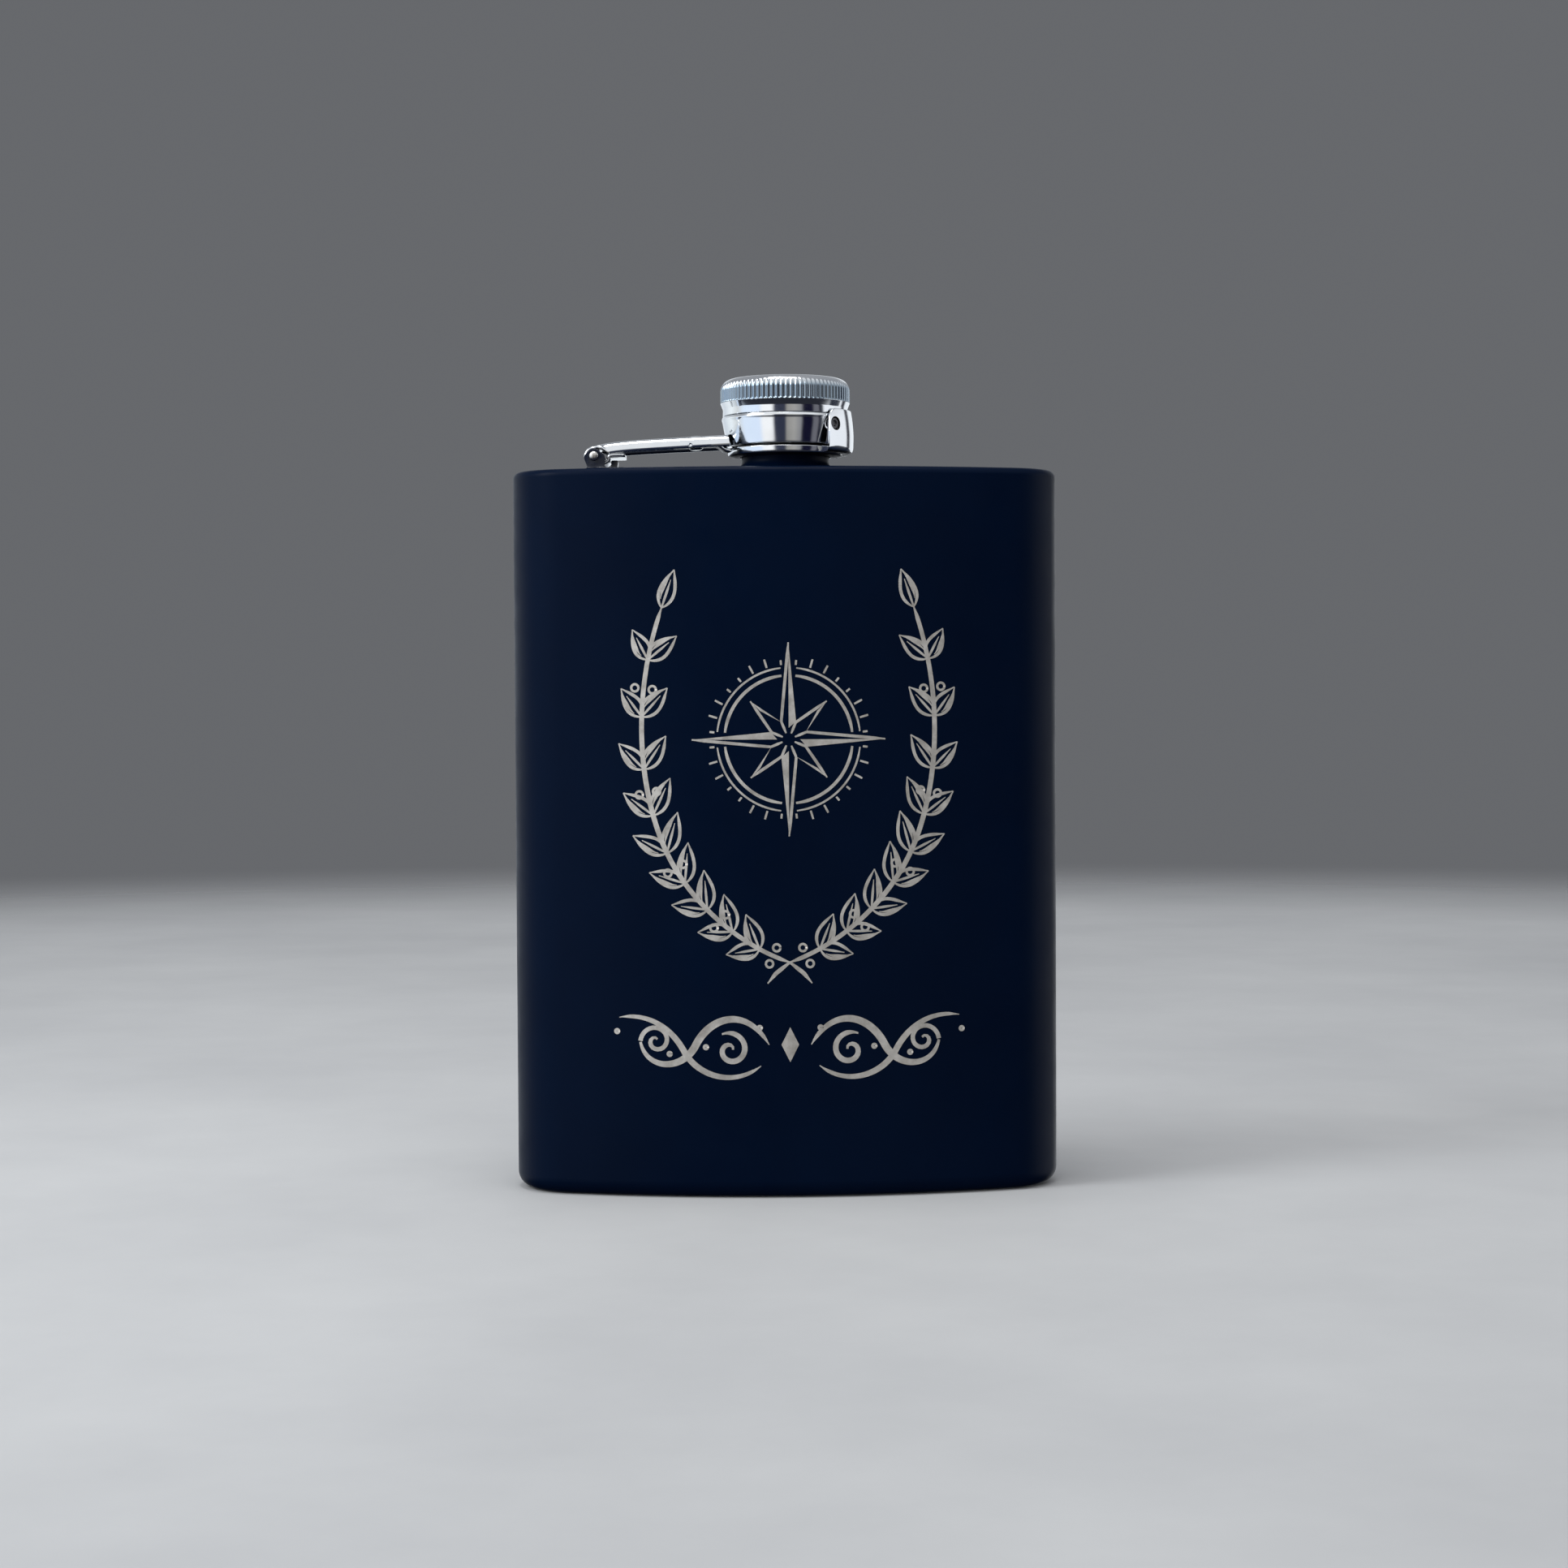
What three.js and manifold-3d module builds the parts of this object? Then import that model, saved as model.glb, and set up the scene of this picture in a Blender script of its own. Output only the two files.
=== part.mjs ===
// A curved steel hip flask with a captive screw cap on a swinging arm.
// Units are millimetres. +Z is up, the front faces -Y, and the origin is on the ground,
// under the middle of the flask.

import * as THREE from 'three';
import { mergeVertices } from 'three/addons/utils/BufferGeometryUtils.js';
import Module from 'manifold-3d';

const wasm = await Module();
wasm.setup();

// ---------------------------------------------------------------- driving dimensions

// Body: a kidney section, convex in front and hollow behind, all arcs about one centre.
const BODY_WIDTH = 95;
const BODY_THICKNESS = 23;
const BODY_HEIGHT = 125;
const FRONT_RADIUS = 136;
const SHEET = 0.7;
const TOP_ROUNDING = 1.2;
const BASE_ROUNDING = 2.8;
const SEAM_GAP = 0.15;
const FLANGE_INSET = 1.0;
const FLANGE_LENGTH = 3;

// Neck and its external thread.
const NECK_BORE = 5.9;
const NECK_RADIUS = 7.55;
const NECK_ROOT = 6.75;
const NECK_CREST = 7.3;
const NECK_FOOT = 8.4;
const NECK_RIM = 134.0;
const NECK_TUBE_RADIUS = 7.1;
const NECK_TUBE_BOTTOM = 121.5;
const NECK_HOLE_RADIUS = 7.3;
const NECK_THREAD_START = 129.8;
const THREAD_PITCH = 1.5;
const THREAD_TURNS = 2.3;

// Hinge of the arm.
const HINGE_X = -33.0;
const HINGE_Z = 127.2;
const HINGE_PIN_RADIUS = 0.7;
const HINGE_PIN_HEAD = 0.9;
const KNUCKLE_RADIUS = 1.75;
const EAR_INNER = 4.25;
const EAR_OUTER = 4.95;
const EAR_TOP_RADIUS = 1.25;
const BRACKET_SHEET = 0.3;
const REST_TOP = 126.6;
const REST_HALF = 2.6;
const PIN_CLEARANCE = 0.08;

// Arm: a channel that climbs a little from the hinge to the cap.
const ARM_CLIMB = THREE.MathUtils.degToRad(2.8);
const ARM_SHEET = 0.75;
const ARM_HALF_AT_HINGE = 3.85;
const ARM_HALF_AT_CAP = 4.7;
const ARM_WEB_TOP = 2.45;
const ARM_LIP = 0.4;
const ARM_END_RADIUS = 10.75;
const ARM_RIVET_X = 17.6;
const ARM_RIVET_RADIUS = 0.8;
const ARM_RIVET_HEAD = 1.3;
const RIVET_CLEARANCE = 0.1;

// Yoke: the ring under the cap, its tongue under the arm, and its ear on the far side.
const RING_BOTTOM = 127.1;
const RING_TOP = 128.6;
const RING_EDGE = 127.9;
const RING_BORE = 7.95;
const RING_RADIUS = 10.0;
const EAR_START_X = 7.0;
const EAR_TOP = 134.9;
const TONGUE_HALF = 2.9;
const TONGUE_END_X = -19.5;
const TONGUE_UNDER = 0.9;
const TONGUE_TOP = 1.6;

// Pivots of the collar in the ear.
const PIVOT_AZIMUTH = THREE.MathUtils.degToRad(44);
const PIVOT_RADIUS = 10.6;
const PIVOT_Z = 132.4;
const PIVOT_NOSE = 0.6;

// Cap and collar.
const CAP_RADIUS = 11.2;
const CAP_TOP = 140.6;
const CAP_SHOULDER = 2.1;
const CAP_SHEET = 0.6;
const CAP_HEAD_INNER = 10.35;
const SKIRT_RADIUS = 10.95;
const SKIRT_BOTTOM = 134.5;
const COLLAR_BOTTOM = 129.0;
const COLLAR_TOP = 134.15;
const SHANK_RADIUS = 8.9;
const SHANK_BOTTOM = 129.5;
const CORE_CREST = 7.95;
const CORE_ROOT = 8.4;
const CORE_THREAD_START = 130.2;
const SEAL_RADIUS = 8.1;
const SEAL_BOTTOM = 134.1;
const SEAL_TOP = 135.42;
const CLIP_RADIUS = 9.5;
const CLIP_BOTTOM = 132.8;
const CLIP_TOP = 133.4;

// How high a piece stands off the plate that it is fixed to.
const STAND_OFF = 0.05;

// How far a cutting shape reaches past what it cuts.
const BEYOND = 6;

const ROUND_SIDES = 40;
const SMALL_SIDES = 16;

// ---------------------------------------------------------------- materials

function material(color, roughness, metalness) {
  return new THREE.MeshStandardMaterial({ color, roughness, metalness });
}

const powderCoat = () => material(0x0a1730, 0.6, 0.1);
const chrome = () => material(0xd8dce0, 0.12, 1.0);
const bareSteel = () => material(0xb4afa6, 0.35, 1.0);
const blackPlastic = () => material(0x1c1d1f, 0.5, 0.0);
const silicone = () => material(0xd9d9d2, 0.7, 0.0);

// ---------------------------------------------------------------- solids

// Turns a closed geometry into a solid, with its corners welded and its faces outward.
function solid(geometry) {
  const bare = new THREE.BufferGeometry();
  bare.setAttribute('position', geometry.getAttribute('position'));
  bare.setIndex(geometry.getIndex());
  const welded = mergeVertices(bare, 1e-4);
  const index = welded.getIndex().array;
  const points = welded.getAttribute('position').array;
  const corner = (i) => new THREE.Vector3(points[3 * i], points[3 * i + 1], points[3 * i + 2]);
  const triangles = [];
  let volume = 0;
  for (let i = 0; i < index.length; i += 3) {
    const [a, b, c] = [index[i], index[i + 1], index[i + 2]];
    if (a === b || b === c || c === a) continue;
    triangles.push([a, b, c]);
    volume += corner(a).dot(corner(b).cross(corner(c)));
  }
  const outward = volume > 0 ? triangles : triangles.map(([a, b, c]) => [a, c, b]);
  return new wasm.Manifold(new wasm.Mesh({
    numProp: 3,
    vertProperties: new Float32Array(points),
    triVerts: new Uint32Array(outward.flat()),
  }));
}

// Turns a solid back into a named mesh.
function part(name, body, look) {
  const mesh = body.getMesh();
  const geometry = new THREE.BufferGeometry();
  geometry.setAttribute('position', new THREE.BufferAttribute(mesh.vertProperties, 3));
  geometry.setIndex(new THREE.BufferAttribute(mesh.triVerts, 1));
  geometry.computeVertexNormals();
  const made = new THREE.Mesh(geometry, look);
  made.name = name;
  return made;
}

// A turned piece about Z from [radius, z] points, which start and end on the axis or close.
function turned(profile, sides = ROUND_SIDES) {
  const geometry = new THREE.LatheGeometry(profile.map(([r, z]) => new THREE.Vector2(r, z)), sides);
  return geometry.rotateX(Math.PI / 2);
}

const closed = (profile) => [...profile, profile[0]];

function ringSolid(profile, sides) {
  return solid(turned(closed(profile), sides));
}

function discSolid(profile, sides) {
  return solid(turned(profile, sides));
}

function rod(radius, low, high, sides = SMALL_SIDES) {
  return turned([[0, low], [radius, low], [radius, high], [0, high]], sides);
}

// A slab of an [x, z] outline, from y = low to y = high.
function slab(outline, low, high) {
  const shape = new THREE.Shape(outline.map(([x, z]) => new THREE.Vector2(x, z)));
  const geometry = new THREE.ExtrudeGeometry(shape, { depth: high - low, bevelEnabled: false });
  return geometry.rotateX(Math.PI / 2).translate(0, high, 0);
}

// A block of an [x, y] outline, from z = low to z = high.
function block(outline, low, high) {
  const shape = new THREE.Shape(outline.map(([x, y]) => new THREE.Vector2(x, y)));
  const geometry = new THREE.ExtrudeGeometry(shape, { depth: high - low, bevelEnabled: false });
  return geometry.translate(0, 0, low);
}

// Points along an arc, from one angle to another in degrees.
function arc(x, z, radius, from, to, steps) {
  return Array.from({ length: steps + 1 }, (_, i) => {
    const angle = THREE.MathUtils.degToRad(from + ((to - from) * i) / steps);
    return [x + radius * Math.cos(angle), z + radius * Math.sin(angle)];
  });
}

// A helical ridge on a wall of radius root, with its crest at radius crest.
function threadRidge(root, crest, bottom) {
  const stepsPerTurn = 20;
  const steps = Math.round(THREAD_TURNS * stepsPerTurn);
  const sunk = root + Math.sign(root - crest) * 0.12;
  const section = [[0, -0.5], [1, -0.12], [1, 0.12], [0, 0.5]];
  const points = [];
  const triangles = [];
  for (let i = 0; i <= steps; i += 1) {
    const angle = (2 * Math.PI * i) / stepsPerTurn;
    const fade = Math.min(1, 0.25 + Math.min(i, steps - i) / 4);
    for (const [height, rise] of section) {
      const radius = sunk + (crest - sunk) * height * fade;
      const z = bottom + (THREAD_PITCH * i) / stepsPerTurn + rise;
      points.push(radius * Math.cos(angle), radius * Math.sin(angle), z);
    }
  }
  const count = section.length;
  for (let i = 0; i < steps; i += 1) {
    for (let j = 0; j < count; j += 1) {
      const a = i * count + j;
      const b = i * count + ((j + 1) % count);
      triangles.push(a, b, a + count, b, b + count, a + count);
    }
  }
  const last = steps * count;
  triangles.push(0, 2, 1, 0, 3, 2, last, last + 1, last + 2, last, last + 2, last + 3);
  const geometry = new THREE.BufferGeometry();
  geometry.setAttribute('position', new THREE.BufferAttribute(new Float32Array(points), 3));
  geometry.setIndex(triangles);
  return solid(geometry);
}

// ---------------------------------------------------------------- kidney section

const END_RADIUS = BODY_THICKNESS / 2;
const MIDDLE_RADIUS = FRONT_RADIUS - END_RADIUS;
const END_ANGLE = Math.asin((BODY_WIDTH / 2 - END_RADIUS) / MIDDLE_RADIUS);
const ARC_CENTRE_Y = (MIDDLE_RADIUS * (1 + Math.cos(END_ANGLE))) / 2;
const NECK_Y = ARC_CENTRE_Y - MIDDLE_RADIUS;
const FACE_STEPS = 12;
const END_STEPS = 10;

// The outline, drawn in from the outside by inset, as [x, y] points.
function kidney(inset) {
  const along = (radius, from, to, steps) => Array.from({ length: steps }, (_, i) => {
    const angle = from + ((to - from) * i) / steps;
    return [radius * Math.sin(angle), ARC_CENTRE_Y - radius * Math.cos(angle)];
  });
  const end = (side) => {
    const x = side * MIDDLE_RADIUS * Math.sin(END_ANGLE);
    const y = ARC_CENTRE_Y - MIDDLE_RADIUS * Math.cos(END_ANGLE);
    return Array.from({ length: END_STEPS }, (_, i) => {
      const turn = side * END_ANGLE + (side > 0 ? 0 : Math.PI) + (Math.PI * i) / END_STEPS;
      return [x + (END_RADIUS - inset) * Math.sin(turn), y - (END_RADIUS - inset) * Math.cos(turn)];
    });
  };
  return [
    ...along(FRONT_RADIUS - inset, -END_ANGLE, END_ANGLE, FACE_STEPS),
    ...end(1),
    ...along(FRONT_RADIUS - BODY_THICKNESS + inset, END_ANGLE, -END_ANGLE, FACE_STEPS),
    ...end(-1),
  ];
}

// A closed solid through kidney outlines at rising levels, each [inset, z].
function kidneySolid(levels) {
  const outlines = levels.map(([inset]) => kidney(inset));
  const count = outlines[0].length;
  const atHeight = (outline, z) => outline.flatMap(([x, y]) => [x, y, z]);
  const points = outlines.flatMap((outline, level) => atHeight(outline, levels[level][1]));
  const triangles = [];
  for (let level = 0; level + 1 < levels.length; level += 1) {
    for (let i = 0; i < count; i += 1) {
      const a = level * count + i;
      const b = level * count + ((i + 1) % count);
      triangles.push(a, b, a + count, b, b + count, a + count);
    }
  }
  const lid = (outline) => {
    const corners = outline.map(([x, y]) => new THREE.Vector2(x, y));
    return THREE.ShapeUtils.triangulateShape(corners, []);
  };
  const top = (levels.length - 1) * count;
  for (const [a, b, c] of lid(outlines[0])) triangles.push(a, c, b);
  for (const [a, b, c] of lid(outlines.at(-1))) triangles.push(top + a, top + b, top + c);
  const geometry = new THREE.BufferGeometry();
  geometry.setAttribute('position', new THREE.BufferAttribute(new Float32Array(points), 3));
  geometry.setIndex(triangles);
  return solid(geometry);
}

// ---------------------------------------------------------------- body

const TOP_SEAM = BODY_HEIGHT - TOP_ROUNDING;
const BASE_SEAM = BASE_ROUNDING;

function bodyShell() {
  const [low, high] = [BASE_SEAM + SEAM_GAP, TOP_SEAM - SEAM_GAP];
  const outside = kidneySolid([[0, low], [0, high]]);
  const inside = kidneySolid([[SHEET, low - 1], [SHEET, high + 1]]);
  return part('body_shell', outside.subtract(inside), powderCoat());
}

// A pressed pan: a rounded rim, and a flange that locates it inside the shell.
function topPlate() {
  const rim = arc(TOP_ROUNDING, TOP_SEAM, TOP_ROUNDING, 180, 90, 4);
  const outside = kidneySolid([
    [FLANGE_INSET, TOP_SEAM - FLANGE_LENGTH],
    [FLANGE_INSET, TOP_SEAM],
    ...rim,
  ]);
  const inside = kidneySolid([
    [FLANGE_INSET + SHEET, TOP_SEAM - FLANGE_LENGTH - 1],
    [FLANGE_INSET + SHEET, BODY_HEIGHT - SHEET],
  ]);
  const bore = rod(NECK_HOLE_RADIUS, BODY_HEIGHT - BEYOND, BODY_HEIGHT + BEYOND, ROUND_SIDES);
  const hole = solid(bore.translate(0, NECK_Y, 0));
  return part('top_plate', outside.subtract(inside).subtract(hole), powderCoat());
}

// A pressed pan with a raised middle, so that the flask stands on the flat rim.
function basePlate() {
  const panelRise = 0.8;
  const panelSlope = 1.0;
  const rimWidth = 4.2;
  const innerBend = 1.6;
  const outside = kidneySolid([
    ...arc(BASE_ROUNDING, BASE_SEAM, BASE_ROUNDING, 270, 180, 5),
    [FLANGE_INSET, BASE_SEAM],
    [FLANGE_INSET, BASE_SEAM + FLANGE_LENGTH],
  ]);
  const panel = BASE_ROUNDING + rimWidth;
  const recess = kidneySolid([[panel, -1], [panel, 0], [panel + panelSlope, panelRise]]);
  const well = kidneySolid([
    [FLANGE_INSET + SHEET + innerBend, SHEET],
    [FLANGE_INSET + SHEET, SHEET + innerBend],
    [FLANGE_INSET + SHEET, BASE_SEAM + FLANGE_LENGTH + 1],
  ]);
  const raised = kidneySolid([
    [panel - SHEET, 0],
    [panel - SHEET, SHEET],
    [panel + panelSlope - SHEET, SHEET + panelRise],
  ]);
  return part('base_plate', outside.subtract(well.subtract(raised)).subtract(recess), powderCoat());
}

// The neck's tube goes down through the plate, and its flared foot is welded on top of it.
function neckSpout() {
  const foot = BODY_HEIGHT + STAND_OFF;
  const flare = 1.0;
  const tube = ringSolid([
    [NECK_BORE, NECK_TUBE_BOTTOM],
    [NECK_TUBE_RADIUS, NECK_TUBE_BOTTOM],
    [NECK_TUBE_RADIUS, foot],
    [NECK_FOOT, foot],
    [NECK_FOOT, foot + 0.25],
    ...arc(NECK_RADIUS + flare, foot + 1.4, flare, 250, 180, 3),
    [NECK_RADIUS, NECK_THREAD_START - 1.0],
    [NECK_ROOT, NECK_THREAD_START - 0.7],
    [NECK_ROOT, NECK_RIM - 0.3],
    [NECK_ROOT - 0.3, NECK_RIM],
    [NECK_BORE + 0.2, NECK_RIM],
    [NECK_BORE, NECK_RIM - 0.2],
  ]);
  const ridge = threadRidge(NECK_ROOT, NECK_CREST, NECK_THREAD_START);
  return part('neck_spout', tube.add(ridge), powderCoat());
}

// ---------------------------------------------------------------- hinge

// A folded bracket: a foot on the top plate, two ears that hold the pin, and a rest for the
// strap's tail between them.
function hingeBracket() {
  const foot = BODY_HEIGHT + STAND_OFF;
  const footTop = foot + BRACKET_SHEET;
  const plate = [[-1.3, foot], [5.2, foot], [5.2, footTop], [-1.3, footTop]];
  const ear = [
    [-1.0, foot],
    [1.8, foot],
    [1.95, HINGE_Z - 0.4],
    [1.7, HINGE_Z + 0.35],
    ...arc(0, HINGE_Z, EAR_TOP_RADIUS, 35, 150, 7),
    [-1.65, HINGE_Z + 0.1],
    [-1.7, HINGE_Z - 0.4],
  ];
  const rest = [[2.7, foot], [3.9, foot], [4.1, REST_TOP], [2.7, REST_TOP]];
  const pinHole = rod(HINGE_PIN_RADIUS + PIN_CLEARANCE, -BEYOND, BEYOND).rotateX(Math.PI / 2);
  const bore = solid(pinHole.translate(0, 0, HINGE_Z));
  const base = solid(slab(plate, -EAR_OUTER, EAR_OUTER));
  const stop = solid(slab(rest, -REST_HALF, REST_HALF));
  const front = solid(slab(ear, -EAR_OUTER, -EAR_INNER));
  const rear = solid(slab(ear, EAR_INNER, EAR_OUTER));
  return part('hinge_bracket', base.add(front).add(rear).add(stop).subtract(bore), powderCoat());
}

// A pin with two peened heads, lying along Y.
function hingePin() {
  const head = EAR_OUTER + PIN_CLEARANCE;
  const dome = [
    [HINGE_PIN_HEAD, head],
    [HINGE_PIN_HEAD - 0.05, head + 0.25],
    [HINGE_PIN_HEAD - 0.4, head + 0.5],
    [0, head + 0.58],
  ];
  const upper = [[HINGE_PIN_RADIUS, head], ...dome];
  const lower = upper.map(([r, z]) => [r, -z]).reverse();
  const pin = turned([...lower, ...upper], SMALL_SIDES).rotateX(Math.PI / 2);
  return part('hinge_pin', solid(pin), chrome());
}

// ---------------------------------------------------------------- arm

// The arm is drawn along its own climbing line: x runs from the hinge to the cap.
const ARM_WEB_UNDER = ARM_WEB_TOP - ARM_SHEET;
const ARM_REACH = 26;

// The arm's plan, drawn in by the thickness of its walls: it widens towards the cap.
function armOutline(wall) {
  const [narrow, wide] = [ARM_HALF_AT_HINGE - wall, ARM_HALF_AT_CAP - wall];
  const upper = [[-3, narrow], [2.6, narrow], [20, wide], [ARM_REACH, wide]];
  return [...upper.map(([x, y]) => [x, -y]), ...upper.reverse()];
}

function armFrame() {
  const frame = new THREE.Group();
  frame.position.set(HINGE_X, NECK_Y, HINGE_Z);
  frame.rotation.y = -ARM_CLIMB;
  frame.updateMatrix();
  return frame;
}

// A strip curled round the pin, with its edges folded down and its end cut to the cap's curve.
function armStrap(frame) {
  const tailStart = arc(0, 0, KNUCKLE_RADIUS, 270, 300, 2).at(-1);
  const tailEnd = 5.5;
  const tailTop = 0.35;
  const tailUnder = tailTop - ARM_SHEET;
  const side = [
    [ARM_REACH, ARM_WEB_TOP],
    [9, ARM_WEB_TOP],
    [3, 2.2],
    [1.5, 2.0],
    ...arc(0, 0, KNUCKLE_RADIUS, 90, 300, 14),
    [tailStart[0] + 1.5, tailUnder],
    [tailEnd, tailUnder],
    [tailEnd, tailTop],
    [tailStart[0] + 0.95, tailTop],
    ...arc(0, 0, KNUCKLE_RADIUS - ARM_SHEET, 310, 80, 12),
    [1.5, 1.27],
    [3, 1.47],
    [9, ARM_WEB_UNDER],
    [ARM_REACH, ARM_WEB_UNDER],
  ];
  const lip = [
    [1.2, 1.9],
    [1.2, 1.2],
    [2.2, ARM_LIP],
    [ARM_REACH, ARM_LIP],
    [ARM_REACH, ARM_WEB_TOP - 0.1],
    [9, ARM_WEB_TOP - 0.1],
    [3, 2.1],
  ];
  const plan = solid(block(armOutline(0), -BEYOND, BEYOND));
  const hollow = solid(block(armOutline(ARM_SHEET), -BEYOND - 1, BEYOND + 1));
  const sheet = solid(slab(side, -BEYOND, BEYOND)).intersect(plan);
  const flanges = plan.subtract(hollow).intersect(solid(slab(lip, -BEYOND, BEYOND)));
  const round = rod(ARM_END_RADIUS, BODY_HEIGHT, CAP_TOP, ROUND_SIDES).translate(0, NECK_Y, 0);
  const cap = solid(round.applyMatrix4(frame.matrix.clone().invert()));
  const hole = rod(ARM_RIVET_RADIUS + RIVET_CLEARANCE, -BEYOND, BEYOND);
  const rivetHole = solid(hole.translate(ARM_RIVET_X, 0, 0));
  const strap = sheet.add(flanges).subtract(cap).subtract(rivetHole);
  return part('arm_strap', strap, chrome());
}

function armRivet() {
  const underHead = ARM_WEB_TOP + 0.06;
  const lowerHead = TONGUE_UNDER - 0.08;
  const rivet = turned([
    [0, lowerHead - 0.4],
    [1.0, lowerHead - 0.35],
    [ARM_RIVET_HEAD, lowerHead],
    [ARM_RIVET_RADIUS, lowerHead],
    [ARM_RIVET_RADIUS, underHead],
    [ARM_RIVET_HEAD, underHead],
    [0.9, underHead + 0.22],
    [0, underHead + 0.28],
  ], SMALL_SIDES);
  return part('arm_rivet', solid(rivet.translate(ARM_RIVET_X, 0, 0)), chrome());
}

// Height of a point that is up above the climbing line of the arm, at x from the cap's axis.
function armHeight(x, up) {
  return HINGE_Z + (x - HINGE_X) * Math.tan(ARM_CLIMB) + up / Math.cos(ARM_CLIMB);
}

function radialHole(radius, inner, outer, side) {
  const hole = rod(radius, inner, outer).rotateY(Math.PI / 2);
  return solid(hole.rotateZ(side * PIVOT_AZIMUTH).translate(0, 0, PIVOT_Z));
}

// The ring under the cap, its tongue, which a joggle takes up under the arm, and its ear.
function armYoke() {
  const ring = ringSolid([
    [RING_BORE, RING_BOTTOM + 0.15],
    [RING_BORE + 0.3, RING_BOTTOM],
    [RING_RADIUS - 0.15, RING_EDGE - 0.1],
    [RING_RADIUS, RING_EDGE + 0.1],
    [RING_RADIUS, RING_TOP],
    [RING_BORE, RING_TOP],
  ]);
  const bowl = ringSolid([
    [9.2, RING_EDGE - 0.3],
    [11.1, RING_EDGE - 0.1],
    [11.65, RING_EDGE + 0.5],
    [11.85, 129.8],
    [11.9, 131.8],
    [11.82, 133.6],
    [11.65, EAR_TOP],
    [11.3, EAR_TOP],
    [11.38, 133.6],
    [11.42, 131.8],
    [11.36, 129.8],
    [11.15, 128.9],
    [10.6, RING_TOP],
    [9.2, RING_TOP],
  ]);
  const farSide = [[EAR_START_X, -15], [15, -15], [15, 15], [EAR_START_X, 15]];
  const ear = bowl.intersect(solid(block(farSide, BODY_HEIGHT, CAP_TOP)));
  const tongue = solid(slab([
    [TONGUE_END_X, armHeight(TONGUE_END_X, TONGUE_UNDER)],
    [-13.2, armHeight(-13.2, TONGUE_UNDER)],
    [-10.6, RING_EDGE + 0.05],
    [-9.0, RING_EDGE],
    [-9.0, RING_TOP - 0.05],
    [-10.4, RING_TOP - 0.05],
    [-12.9, armHeight(-12.9, TONGUE_TOP)],
    [TONGUE_END_X, armHeight(TONGUE_END_X, TONGUE_TOP)],
  ], -TONGUE_HALF, TONGUE_HALF));
  const rivetX = HINGE_X + ARM_RIVET_X * Math.cos(ARM_CLIMB);
  const hole = rod(ARM_RIVET_RADIUS + RIVET_CLEARANCE, -3, 3).rotateY(-ARM_CLIMB);
  const rivetHole = solid(hole.translate(rivetX, 0, armHeight(rivetX, 0)));
  let yoke = ring.add(ear).add(tongue).subtract(rivetHole);
  for (const side of [-1, 1]) yoke = yoke.subtract(radialHole(0.7, PIVOT_RADIUS + 0.1, 13, side));
  return part('arm_yoke', yoke, chrome());
}

// A rivet in the ear whose round nose sits on the tilt axis, in a hole of the collar.
function pivotRivet(name, side) {
  const profile = [
    ...arc(PIVOT_RADIUS, 0, PIVOT_NOSE, 180, 100, 4).map(([z, r]) => [r, z]),
    [PIVOT_NOSE, 11.75],
    [0.62, 11.92],
    [0.45, 12.0],
    [0.3, 11.8],
    [0, 11.75],
  ];
  const tip = [0, PIVOT_RADIUS - PIVOT_NOSE];
  const rivet = turned([tip, ...profile.slice(1)], SMALL_SIDES).rotateY(Math.PI / 2);
  rivet.rotateZ(side * PIVOT_AZIMUTH).translate(0, 0, PIVOT_Z);
  return part(name, solid(rivet), bareSteel());
}

// ---------------------------------------------------------------- collar and cap

function capCollar() {
  let collar = ringSolid([
    [9.35, COLLAR_BOTTOM],
    [9.95, COLLAR_BOTTOM],
    [10.1, 130.1],
    [10.44, 131.7],
    [10.82, 133.3],
    [11.0, 133.7],
    [11.0, 134.0],
    [10.85, COLLAR_TOP],
    [9.1, COLLAR_TOP],
    [9.1, 133.6],
    [10.2, 133.6],
    [10.22, 133.2],
    [9.84, 131.7],
    [9.5, 130.1],
  ]);
  for (const side of [-1, 1]) collar = collar.subtract(radialHole(0.85, 9, 12, side));
  return part('cap_collar', collar, chrome());
}

function capShell() {
  const bendX = CAP_RADIUS - CAP_SHOULDER;
  const bendZ = CAP_TOP - CAP_SHOULDER;
  const shoulder = arc(bendX, bendZ, CAP_SHOULDER, 0, 90, 5);
  const innerShoulder = arc(bendX, bendZ, CAP_SHOULDER - CAP_SHEET, 90, 0, 4);
  return part('cap_shell', discSolid([
    [0, CAP_TOP - CAP_SHEET],
    ...innerShoulder,
    [CAP_RADIUS - CAP_SHEET, 136.7],
    [CAP_HEAD_INNER, 136.1],
    [CAP_HEAD_INNER, SKIRT_BOTTOM],
    [SKIRT_RADIUS, SKIRT_BOTTOM],
    [SKIRT_RADIUS, 135.5],
    [SKIRT_RADIUS - 0.12, 135.7],
    [CAP_RADIUS, 136.45],
    ...shoulder,
    [0, CAP_TOP],
  ]), chrome());
}

// The threaded insert: its head is held in the cap, and its shank turns inside the collar.
function capCore() {
  const head = 10.1;
  const [headBottom, headTop] = [134.55, 139.75];
  const pocket = SEAL_RADIUS + 0.2;
  const core = discSolid([
    [0, SEAL_TOP + 0.08],
    [pocket, SEAL_TOP + 0.08],
    [pocket, SEAL_BOTTOM + 0.1],
    [CORE_ROOT, SEAL_BOTTOM - 0.1],
    [CORE_ROOT, SHANK_BOTTOM + 0.2],
    [CORE_ROOT + 0.2, SHANK_BOTTOM],
    [SHANK_RADIUS, SHANK_BOTTOM],
    [SHANK_RADIUS, headBottom],
    [head, headBottom],
    [head, headTop - 0.55],
    [head - 0.5, headTop],
    [0, headTop],
  ]);
  const ridge = threadRidge(CORE_ROOT, CORE_CREST, CORE_THREAD_START);
  return part('cap_core', core.add(ridge), blackPlastic());
}

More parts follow.
